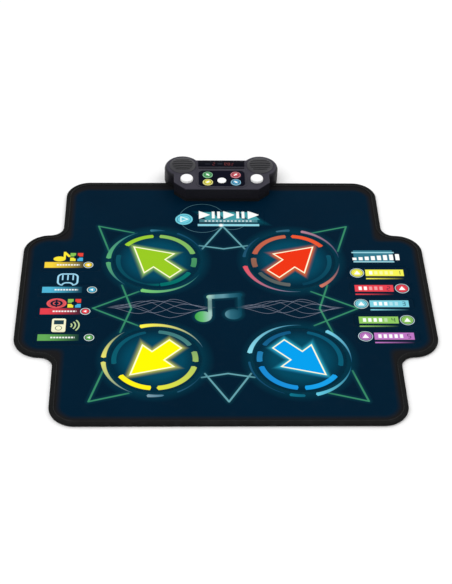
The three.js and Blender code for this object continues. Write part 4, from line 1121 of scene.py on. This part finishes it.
def box_edge(height):
    """The box's outline at a height: the union of the block and the drums. The drums narrow towards
    the top by a quarter oval, and the block by a small quarter circle."""
    up = np.clip((height - (BOX_TOP - SHOULDER_DEPTH)) / SHOULDER_DEPTH, 0, 1)
    radius = POD_RADIUS - SHOULDER_WIDTH * (1 - math.sqrt(1 - up**2))
    up = np.clip((height - (BOX_TOP - BOX_EDGE)) / BOX_EDGE, 0, 1)
    inset = BOX_EDGE * (1 - math.sqrt(1 - up**2))
    mitre = inset * math.tan(math.pi / 8)
    side_x, rear_y = BOX_HALF - inset, REAR_WALL - inset
    first = -math.acos((side_x - POD_X) / radius)
    last = math.pi - math.asin((rear_y - POD_Y) / radius)
    angle = np.linspace(first, last, 72)
    drum = np.stack([POD_X + radius * np.cos(angle), POD_Y + radius * np.sin(angle)], 1)
    front_x = BOX_HALF - BOX_CUT - mitre
    corner_y = BOX_FRONT + BOX_CUT + mitre
    steps = np.linspace(0, 1, 6)[:, None]
    cut_run = np.array([front_x, BOX_FRONT + inset]) * (1 - steps) + np.array([side_x, corner_y]) * steps
    side_run = np.array([side_x, corner_y]) * (1 - steps) + drum[:1] * steps
    right = np.concatenate([cut_run, side_run[1:-1], drum])
    return np.concatenate([right, right[::-1] * (-1, 1)])


def level_loop(loop, height):
    """A flat loop, or any flat points, at a height."""
    return np.column_stack([loop, np.full(len(loop), height)])


def well(outline, top, bottom, lip=0.5):
    """Rows of a hole's wall: a rounded lip that turns from the face into a straight wall."""
    turn = np.linspace(0, math.pi / 2, 4)
    steps = [(lip * (1 - math.sin(t)), top - lip * (1 - math.cos(t))) for t in turn] + [(0, bottom)]
    return np.concatenate([level_loop(outline(grow), height) for grow, height in steps])


def round_hole(x, y, radius):
    """A round outline that can be grown."""
    return lambda grow: pad_edge(x, y, radius + grow, radius + grow, radius + grow)


def plate_hole(left, front, right, rear, corner, gap=0.0):
    """A rounded rectangle's outline that can be grown."""
    middle = ((left + right) / 2, (front + rear) / 2)
    half = ((right - left) / 2 + gap, (rear - front) / 2 + gap)
    return lambda grow: pad_edge(*middle, half[0] + grow, half[1] + grow, corner + gap + grow)


HOLES = [
    *[(round_hole(side * POD_X, POD_Y, GRILLE_RADIUS + SEAT_GAP), HOLE_FLOOR) for side in (-1, 1)],
    *[(round_hole(side * DOME_X, DOME_Y, DOME_RADIUS + SEAT_GAP), HOLE_FLOOR) for side in (-1, 1)],
    (plate_hole(*WINDOW, gap=SEAT_GAP), SEAT_FLOOR), (plate_hole(*PANEL, gap=SEAT_GAP), SEAT_FLOOR),
    (plate_hole(*GROOVE), GROOVE_FLOOR),
]
WALL_HEIGHTS = (
    PARTING + 0.25, PARTING + 0.6, 34.5, 36.5, 38.5, 40.2, 41.6, 42.6, 43.0, 43.5, 43.9, 44.2, 44.4, BOX_TOP,
)


def upper_shell():
    """The outer skin: the outline carried up the walls and over the edges, the flat top with its
    holes, and the walls of the holes. Its lowest row draws in a little at the parting line."""
    wall = [level_loop(box_edge(height), height) for height in WALL_HEIGHTS]
    wall[0][:, :2] += (np.array([0, POD_Y - 30]) - wall[0][:, :2]) * 0.004
    around = len(wall[0])
    skin = np.concatenate(wall)
    flat, top_faces = plate([wall[-1][:, :2], *[hole(0.5) for hole, floor in HOLES]])
    top = level_loop(flat, BOX_TOP)
    points, faces = [skin, top], [rings(len(wall), around), top_faces + len(skin)]
    start = len(skin) + len(top)
    for hole, floor in HOLES:
        rows = well(hole, BOX_TOP, floor)
        points.append(rows)
        faces.append(rings(len(rows) // LOOP_STEPS, LOOP_STEPS, start)[:, ::-1])
        start += len(rows)
        if floor > HOLE_FLOOR:
            floor_flat, floor_faces = plate([hole(0)])
            points.append(level_loop(floor_flat, floor))
            faces.append(floor_faces + start)
            start += len(floor_flat)
    return surface("box_upper_shell", np.concatenate(points), faces)


def soft_by_angle(piece, degrees=35):
    """Merges doubled points and keeps an edge sharp where its faces meet at more than an angle."""
    work = bmesh.new()
    work.from_mesh(piece.data)
    bmesh.ops.remove_doubles(work, verts=work.verts, dist=2e-6)
    for edge in work.edges:
        edge.smooth = not (edge.is_manifold and edge.calc_face_angle(0) > math.radians(degrees))
    for face in work.faces:
        face.smooth = True
    work.to_mesh(piece.data)
    work.free()


shell = upper_shell()
soft_by_angle(shell)
wall = shell.modifiers.new("wall", "SOLIDIFY")
wall.thickness, wall.offset = 0.8 * MM, -1


def rib():
    """The raised rib round the panel and the window: a half-round bead along a U-shaped path that is
    open behind."""
    half, front, corner, rear = 61.75, 350.25, 16.75, WINDOW[3]
    quarter = np.linspace(0, math.pi / 2, 14)
    bend = np.stack([half - corner + corner * np.cos(quarter), front + corner - corner * np.sin(quarter)], 1)
    right = np.concatenate([[(half, rear)], bend])
    path = np.concatenate([right, right[::-1] * (-1, 1)])
    ahead = np.gradient(path, axis=0)
    ahead /= np.linalg.norm(ahead, axis=1)[:, None]
    side = np.stack([ahead[:, 1], -ahead[:, 0]], 1)
    angle = np.linspace(0, math.pi, 9)
    across, height = 1.25 * np.cos(angle), BOX_TOP - 0.2 + 1.4 * np.sin(angle) ** 0.6
    across, height = np.append(across, [-1.25, 1.25]), np.append(height, [BOX_TOP - 0.5] * 2)
    flat = path[:, None] + across[None, :, None] * side[:, None]
    points = np.concatenate([flat, np.broadcast_to(height, flat.shape[:2])[..., None]], 2)
    count, around = points.shape[:2]
    points = points.reshape(-1, 3)
    ends = np.array([points[:around].mean(0), points[-around:].mean(0)])
    j = np.arange(around)
    k = (j + 1) % around
    last = (count - 1) * around
    caps = [np.stack([k, j, np.full(around, len(points))], 1),
            np.stack([last + j, last + k, np.full(around, len(points) + 1)], 1)]
    return surface("box_rib", np.concatenate([points, ends]), [rings(count, around), *caps])


def moulded_plastic(name, dark, light, rough, wall=None):
    """Dark moulded plastic: a fine spark-eroded grain, slightly rubbed and greasy in places.
    A wall colour is painted shade: it darkens the upright walls below the rounded edge and the groove between
    the panel and the window, with the same grain."""
    material, place, shader = new_material(name)
    grain = noise(place, 2.4, 3)
    cloud = noise(place, 0.05, 3)
    touched = noise(place, 0.022, 4).span(0.48, 0.7)
    colour = cloud.choose(linear(*dark), linear(*light))
    if wall:
        # Painted shade: the groove between the panel and the window, and the upright walls below the rounded
        # edge, take the darker wall colour.
        groove_painted_shade = boxed(place, 0, (GROOVE[1] + GROOVE[3]) / 2, GROOVE[2], 1.7).filled()
        colour = colour.over(linear(*wall), place.part(2).span(BOX_TOP - 0.6, BOX_TOP - 2.4).upper(groove_painted_shade))
    normal = bump(grain, 0.00012, 0.55)
    finish_material(place, shader, Base_Color=colour, Roughness=touched * -0.1 + rough, Normal=normal)
    shader.inputs["Specular IOR Level"].default_value = 0.16
    return material


# The wall colour here is painted shade on the shell's upright walls and in its groove.
charcoal = moulded_plastic("charcoal_plastic", (46, 45, 55), (57, 55, 66), 0.5, wall=(27, 26, 32))
black_plastic = moulded_plastic("black_plastic", (18, 18, 20), (25, 25, 28), 0.55)
bead = rib()
soft_by_angle(bead, 50)
for piece in (shell, bead):
    piece.data.materials.append(charcoal)
    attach(piece, "root")
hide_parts("upper_housing")


def rounded_copy(node, edge=0.4, degrees=30):
    """A copy of a CAD node with merged points, smooth round faces and small rounded edges."""
    source = frame["nodes"][node]
    piece = bpy.data.objects.new(f"{node}_moulded", source.data.copy())
    bpy.context.scene.collection.objects.link(piece)
    soft_by_angle(piece, degrees)
    if edge:
        bevel = piece.modifiers.new("rounded_edges", "BEVEL")
        bevel.width, bevel.segments, bevel.limit_method = edge * MM, 2, "ANGLE"
        bevel.angle_limit = math.radians(degrees)
    piece.data.materials.clear()
    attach(piece, body_of(source)[0])
    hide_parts(node)
    return piece


lower = rounded_copy("lower_housing", edge=0)
lower.data.materials.append(black_plastic)

# ------------------------------------------------------------------ speaker grilles
# Each grille is a low domed cap snapped into the drum, with six slots that curve like
# smiles, over a dark cone.

GRILLE_RISE, GRILLE_FOOT, GRILLE_STEPS = 4.5, 41.3, 288
SLOT_FIELD, SLOT_WIDTH, SLOT_PITCH, SLOT_COUNT, SLOT_BEND = 24.5, 2.6, 7.3, 6, 80.0


def grille(name, middle_x):
    """A round grid whose height is a shallow crown with a rounded rim, less a smooth dip where the
    point is nearer than half a slot's width to a curved line."""
    radius = np.concatenate([np.linspace(0.0, 28, 70), np.linspace(28.4, GRILLE_RADIUS, 16)])[1:]
    angle = np.arange(GRILLE_STEPS) / GRILLE_STEPS * 2 * math.pi
    x, y = np.outer(radius, np.cos(angle)), np.outer(radius, np.sin(angle))
    share = (radius / GRILLE_RADIUS)[:, None]
    crown = BOX_TOP + GRILLE_RISE * (1 - 0.55 * share**2.2) * np.clip((1 - share**14), 0, 1) ** 0.5
    nearest = np.full(x.shape, 99.0)
    for slot in range(SLOT_COUNT):
        offset = (slot - (SLOT_COUNT - 1) / 2) * SLOT_PITCH
        reach = math.sqrt(SLOT_FIELD**2 - offset**2)
        bow = np.clip(x, -reach, reach) ** 2 / (2 * SLOT_BEND)
        line = offset - reach**2 / (4 * SLOT_BEND) + bow
        beyond = np.maximum(np.abs(x) - reach, 0)
        nearest = np.minimum(nearest, np.hypot(y - line, beyond))
    depth = np.clip((SLOT_WIDTH / 2 + 0.35 - nearest) / 0.7, 0, 1)
    height = crown - 2.6 * depth * depth * (3 - 2 * depth)
    rows = np.stack([middle_x + x, POD_Y + y, height], 2).reshape(-1, 3)
    rim = np.stack([middle_x + GRILLE_RADIUS * np.cos(angle), POD_Y + GRILLE_RADIUS * np.sin(angle)], 1)
    poles = np.array([[middle_x, POD_Y, BOX_TOP + GRILLE_RISE], [middle_x, POD_Y, GRILLE_FOOT]])
    points = np.concatenate([rows, level_loop(rim, GRILLE_FOOT), poles])
    j = np.arange(GRILLE_STEPS)
    k = (j + 1) % GRILLE_STEPS
    foot = len(radius) * GRILLE_STEPS
    last = foot - GRILLE_STEPS
    faces = [
        rings(len(radius), GRILLE_STEPS)[:, ::-1],
        np.stack([j, k, np.full(GRILLE_STEPS, len(points) - 2)], 1),
        np.stack([last + j, foot + j, foot + k, last + k], 1),
        np.stack([foot + k, foot + j, np.full(GRILLE_STEPS, len(points) - 1)], 1),
    ]
    return surface(name, points, faces)


def grille_plastic():
    """The cap's charcoal plastic, with painted shade down in the slots, which the cap's own height tells."""
    material, place, shader = new_material("grille_plastic")
    x, y, z = (place.part(i) for i in range(3))
    far = abs(x) - POD_X
    radius = (far * far + (y - POD_Y) * (y - POD_Y)).math("SQRT") / GRILLE_RADIUS
    crown = 1.0 - radius.math("POWER", 2.2) * 0.55
    below = (crown * GRILLE_RISE + BOX_TOP) - z
    # Painted shade: the bottom of each slot is coloured near black, as if in shadow.
    slot = below.span(0.6, 1.6) * radius.span(0.82, 0.78)
    grain = noise(place, 2.4, 3)
    cloud = noise(place, 0.06, 3)
    colour = cloud.choose(linear(38, 38, 42), linear(48, 48, 53)).over(linear(5, 5, 6), slot)
    normal = bump(grain, 0.0001, 0.5)
    finish_material(place, shader, Base_Color=colour, Roughness=slot * 0.3 + 0.42, Normal=normal)
    shader.inputs["Specular IOR Level"].default_value = 0.4
    return material


cap_plastic = grille_plastic()
for side_name, side in (("left", -1), ("right", 1)):
    cap = grille(f"grille_cap_{side_name}", side * POD_X)
    soft_by_angle(cap, 50)
    cap.data.materials.append(cap_plastic)
    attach(cap, "root")
    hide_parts(f"speaker_grille_{side_name}")

# ------------------------------------------------------------------ display and button panel
# A smoked window with red figures behind it, and a glossy moulded panel with round holes for
# the buttons. Both are bonded into recesses of the upper shell.


def raised_plate(name, outline, bottom, top, edge, holes=()):
    """A flat plate with a rounded rim: rows round its outline, then triangles between the rim and the
    holes."""
    turn = np.linspace(0, math.pi / 2, 5)
    steps = [(-edge * (1 - math.cos(t)), top - edge * (1 - math.sin(t))) for t in turn]
    rows = [level_loop(outline(grow), height) for grow, height in [(0, bottom), *steps]]
    points, faces = [np.concatenate(rows)], [rings(len(rows), LOOP_STEPS)]
    start = LOOP_STEPS * len(rows)
    flat, top_faces = plate([rows[-1][:, :2], *[hole(0.3) for hole in holes]])
    low_flat, low_faces = plate([rows[0][:, :2], *[hole(0) for hole in holes]])
    points += [level_loop(flat, top), level_loop(low_flat, bottom)]
    faces += [top_faces + start, low_faces[:, ::-1] + start + len(flat)]
    start += len(flat) + len(low_flat)
    for hole in holes:
        lip = [(0.3, top), (0.1, top - 0.1), (0, top - 0.3), (0, bottom)]
        points.append(np.concatenate([level_loop(hole(grow), height) for grow, height in lip]))
        faces.append(rings(len(lip), LOOP_STEPS, start)[:, ::-1])
        start += LOOP_STEPS * len(lip)
    return surface(name, np.concatenate(points), faces)


def gloss_black():
    """Deep blue-black gloss plastic with a hard shine and faint dust."""
    material, place, shader = new_material("gloss_black")
    dust = noise(place, 0.3, 5).span(0.6, 0.8)
    colour = noise(place, 0.02, 2).choose(linear(1, 3, 18), linear(3, 6, 26))
    normal = bump(noise(place, 0.05, 1), 0.0002, 0.08)
    finish_material(place, shader, Base_Color=colour, Roughness=dust * 0.25 + 0.12, Normal=normal)
    shader.inputs["Specular IOR Level"].default_value = 0.03
    return material


# The red figures: each one's middle and which of its seven bars are lit, then the bars of one figure.
FIGURES_Y = 446.8
FIGURES = [
    (-18.6, (0, 1, 1, 0, 1, 1, 0)), (10.9, (1, 1, 1, 1, 1, 1, 0)),
    (18.9, (1, 1, 1, 1, 1, 1, 1)), (26.9, (1, 0, 1, 0, 1, 0, 0)),
]
FIGURE_BARS = [(0, 0, 1.9, 0.55), (0, 5, 1.9, 0.55), (0, -5, 1.9, 0.55), (-2.4, 2.5, 0.55, 2.1),
               (2.4, 2.5, 0.55, 2.1), (-2.4, -2.5, 0.55, 2.1), (2.4, -2.5, 0.55, 2.1)]


def window_material():
    """The smoked window: seven-bar red figures and a few grey dashes glow dimly through the gloss."""
    material, place, shader = new_material("smoked_window")
    p = place.vector("MULTIPLY", (1, 1, 0))
    shape = None
    for middle, lit in FIGURES:
        for (x, y, half_width, half_length), on in zip(FIGURE_BARS, lit):
            if on:
                bar = boxed(p, middle + x, FIGURES_Y + y, half_width, half_length)
                shape = bar if shape is None else shape.lower(bar)
    dashes = boxed(p, -34, FIGURES_Y, 6, 0.7).lower(boxed(p, -3.5, FIGURES_Y, 6, 0.7))
    dashes = dashes.lower(boxed(p, -3.5, FIGURES_Y + 3, 6, 0.4))
    glow = noise(p, 0.05, 1).choose(linear(1, 2, 12), linear(4, 5, 18))
    red = glow.over(linear(104, 54, 56), shape.filled(0.5))
    colour = red.over(linear(52, 56, 68), dashes.filled(0.5))
    light = glow.over(linear(190, 40, 34), shape.filled(0.5))
    smears = noise(place, 0.2, 3)
    finish_material(place, shader, Base_Color=colour, Emission_Color=light, Roughness=smears * 0.06 + 0.08)
    shader.inputs["Emission Strength"].default_value = 0.12
    shader.inputs["Specular IOR Level"].default_value = 0.03
    return material


# Each button's middle, radius and colour, and the way that its arrow points, in degrees.
BUTTONS = {
    "button_green": (-34.4, 401.0, 12.5, (36, 150, 66), 135),
    "button_red": (34.4, 401.0, 12.5, (186, 36, 56), 45),
    "button_yellow": (-34.4, 371.0, 12.5, (214, 206, 48), 225),
    "button_blue": (34.4, 371.0, 12.5, (42, 142, 184), 315),
    "button_centre": (0.0, 378.6, 10.8, (240, 241, 240), None),
}
WINDOW_TOP, PANEL_TOP, BUTTON_TOP, DOME_TOP = 44.1, 43.9, 45.5, 53.5

window = raised_plate("smoked_window", plate_hole(*WINDOW), SEAT_FLOOR, WINDOW_TOP, 0.4)
window.data.materials.append(window_material())
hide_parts("display_window")
panel = raised_plate("gloss_panel", plate_hole(*PANEL), SEAT_FLOOR, PANEL_TOP, 0.5,
                     [round_hole(x, y, radius + SEAT_GAP) for x, y, radius, *rest in BUTTONS.values()])
panel.data.materials.append(gloss_black())
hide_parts("button_panel")
for piece in (window, panel):
    soft_by_angle(piece, 40)
    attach(piece, "root")

# ------------------------------------------------------------------ buttons
# Moulded caps on silicone springs: four coloured ones with a pale ring and an arrow, a plain
# white one between them, and a tall white dome at each side.


def turned_cap(name, x, y, profile, around=72):
    """A profile of radius and height turned about an upright line, closed on the line at both ends."""
    profile = np.array(profile)
    angle = np.arange(around) / around * 2 * math.pi
    rows = np.stack([
        x + np.outer(profile[1:-1, 0], np.cos(angle)),
        y + np.outer(profile[1:-1, 0], np.sin(angle)),
        np.repeat(profile[1:-1, 1:], around, axis=1),
    ], 2)
    count = len(rows)
    points = np.concatenate([rows.reshape(-1, 3), [[x, y, profile[0, 1]], [x, y, profile[-1, 1]]]])
    j = np.arange(around)
    k = (j + 1) % around
    last = (count - 1) * around
    first_pole, last_pole = len(points) - 2, len(points) - 1
    faces = [rings(count, around), np.stack([k, j, np.full(around, first_pole)], 1),
             np.stack([last + j, last + k, np.full(around, last_pole)], 1)]
    piece = surface(name, points, faces)
    soft_by_angle(piece, 45)
    return piece


def cap_profile(radius, top, bottom, edge, crown):
    """Straight sides, a rounded shoulder and a low crown."""
    turn = np.linspace(0, math.pi / 2, 6)
    side = [(0, bottom), (radius, bottom), (radius, top - crown - edge)]
    flat, low = radius - edge, top - crown - edge
    shoulder = [(flat + edge * math.cos(t), low + edge * math.sin(t)) for t in turn[1:]]
    face = [(flat * (1 - share), top - crown * (1 - share) ** 2) for share in np.linspace(0, 1, 9)[1:]]
    return side + shoulder + face


def button_material(name, x, y, radius, colour, turn):
    """A printed cap: a pale ring, a coloured disc and a white arrow that points at its own corner."""
    material, place, shader = new_material(name)
    p = place.vector("MULTIPLY", (1, 1, 0))
    away = round_from(p, x, y, 0)
    cloud = noise(place, 0.2, 3)
    ink = cloud.choose(linear(*colour), linear(*[min(255, c + 12) for c in colour]))
    if turn is not None:
        ink = ink.over(linear(*[0.45 * c for c in colour]), (abs(away - radius * 0.72) - 0.9).filled(0.5))
        pale = [min(255, 0.55 * c + 104) for c in colour]
        ink = ink.over(linear(*pale), (radius * 0.83 - away).filled(0.5))
        angle = math.radians(turn)
        local = p.vector("SUBTRACT", (x, y, 0))
        along = local.vector("DOT_PRODUCT", (math.cos(angle), math.sin(angle), 0), output=1)
        side = abs(local.vector("DOT_PRODUCT", (-math.sin(angle), math.cos(angle), 0), output=1))
        head = (side * 0.866 + along * 0.5 - 3.0).upper(-0.6 - along)
        shaft = (side - 1.7).upper(-5.4 - along).upper(along)
        ink = ink.over(linear(244, 248, 244), head.lower(shaft).filled(0.5))
    wear = noise(place, 0.5, 4)
    finish_material(place, shader, Base_Color=ink, Roughness=wear * 0.12 + 0.3)
    return material


for name, (x, y, radius, colour, turn) in BUTTONS.items():
    cap = turned_cap(f"{name}_cap", x, y, cap_profile(radius, BUTTON_TOP, 40.2, 0.7, 0.45))
    cap.data.materials.append(button_material(f"{name}_cap", x, y, radius, colour, turn))
    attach(cap, f"{name}_body")
    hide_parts(name)

for side_name, side in (("left", -1), ("right", 1)):
    label, x = f"dome_cap_{side_name}", side * DOME_X
    cap = turned_cap(label, x, DOME_Y, cap_profile(DOME_RADIUS, DOME_TOP, 39.2, 3.4, 1.4))
    cap.data.materials.append(button_material(label, x, DOME_Y, DOME_RADIUS, (243, 244, 243), None))
    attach(cap, f"button_dome_{side_name}_body")
    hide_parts(f"button_dome_{side_name}")

# ------------------------------------------------------------------ parts inside and underneath
# The board, keypad, speakers, batteries and fixings. They keep their own shapes and get the
# finish of what they are made of.


def metal(name, dark, light, rough):
    """Brushed metal with fine streaks across it."""
    material, place, shader = new_material(name)
    brushed = noise(place.vector("MULTIPLY", (0.4, 4, 1)), 1.0, 3)
    colour = brushed.choose(linear(*dark), linear(*light))
    normal = bump(brushed, 0.00005, 0.4)
    rough = brushed * 0.2 + rough
    finish_material(place, shader, Base_Color=colour, Metallic=1.0, Roughness=rough, Normal=normal)
    return material


def board_material():
    """Green solder mask over a web of slightly raised tracks and pale pads."""
    material, place, shader = new_material("circuit_board")
    x, y = place.part(0), place.part(1)
    cells = place.node("ShaderNodeTexVoronoi", {"distance": "MANHATTAN"}, {"Vector": place, "Scale": 0.16})
    track = (abs((cells * 4.0).math("FRACT") - 0.5) - 0.1).filled(0.08)
    column, row = abs((x / 5.08).math("FRACT") - 0.5), abs((y / 5.08).math("FRACT") - 0.5)
    pad = (column.upper(row) - 0.12).filled(0.04)
    colour = track.choose(linear(16, 74, 44), linear(34, 104, 62)).over(linear(196, 190, 160), pad * 0.8)
    normal = bump(track, 0.0001, 0.5)
    finish_material(place, shader, Base_Color=colour, Roughness=pad * -0.15 + 0.42, Normal=normal)
    return material


def cell_wrap():
    """A battery's printed sleeve: a bronze band and a dark band round the cell, with a scuffed lacquer."""
    material, place, shader = new_material("cell_wrap")
    x = abs(place.part(0))
    band = (abs(x - 12.0) - 9.0).filled(0.4)
    scuff = noise(place, 0.4, 5).span(0.5, 0.8)
    colour = band.choose(linear(34, 34, 38), linear(190, 132, 60)).over(linear(200, 196, 188), scuff * 0.2)
    finish_material(place, shader, Base_Color=colour, Metallic=band * 0.6, Roughness=scuff * 0.3 + 0.28)
    return material


def speaker_material():
    """A speaker from above: a black paper cone in fine rings, and a bright steel basket below."""
    material, place, shader = new_material("speaker_cone")
    x, y, z = (place.part(i) for i in range(3))
    far = abs(x) - POD_X
    radius = (far * far + (y - POD_Y) * (y - POD_Y)).math("SQRT")
    ribs = (radius * 2.4).math("SINE") * 0.5 + 0.5
    steel = (z.span(34.5, 34.0)).upper(radius.span(31.5, 32.0))
    colour = ribs.choose(linear(20, 20, 22), linear(34, 34, 36)).over(linear(168, 170, 172), steel)
    rough = ribs * 0.15 + 0.5 - steel * 0.2
    finish_material(place, shader, Base_Color=colour, Metallic=steel * 0.9, Roughness=rough)
    return material


def rubber_material(name, dark, light):
    """Dull rubber with a fine speckle."""
    material, place, shader = new_material(name)
    speck = noise(place, 1.5, 4)
    colour = speck.choose(linear(*dark), linear(*light))
    normal = bump(speck, 0.0002, 0.5)
    finish_material(place, shader, Base_Color=colour, Roughness=speck * 0.15 + 0.75, Normal=normal)
    return material


steel = metal("steel", (150, 152, 154), (200, 202, 204), 0.25)
paint(steel, "mat_clamp_plate", "battery_contact_left", "battery_contact_right")
paint(board_material(), "main_board")
paint(rubber_material("keypad_silicone", (120, 124, 128), (150, 154, 158)), "keypad_membrane")
paint(speaker_material(), "speaker_driver_left", "speaker_driver_right")
paint(cell_wrap(), *[f"battery_cell_{number}" for number in range(1, 5)])
paint(black_plastic, "display_module")
for side_name in ("left", "right"):
    foot = rounded_copy(f"rubber_foot_{side_name}", 0.5)
    foot.data.materials.append(rubber_material("foot_rubber", (20, 20, 22), (36, 36, 38)))
for node in ("clamp_screw_left", "clamp_screw_right", "housing_screw_front_left", "housing_screw_front_right",
             "housing_screw_rear_left", "housing_screw_rear_right", "battery_door_screw", "usb_socket"):
    fixing = rounded_copy(node, 0.15, 40)
    fixing.data.materials.append(steel)
for node in ("battery_door", "audio_socket"):
    moulding = rounded_copy(node, 0.3)
    moulding.data.materials.append(black_plastic)
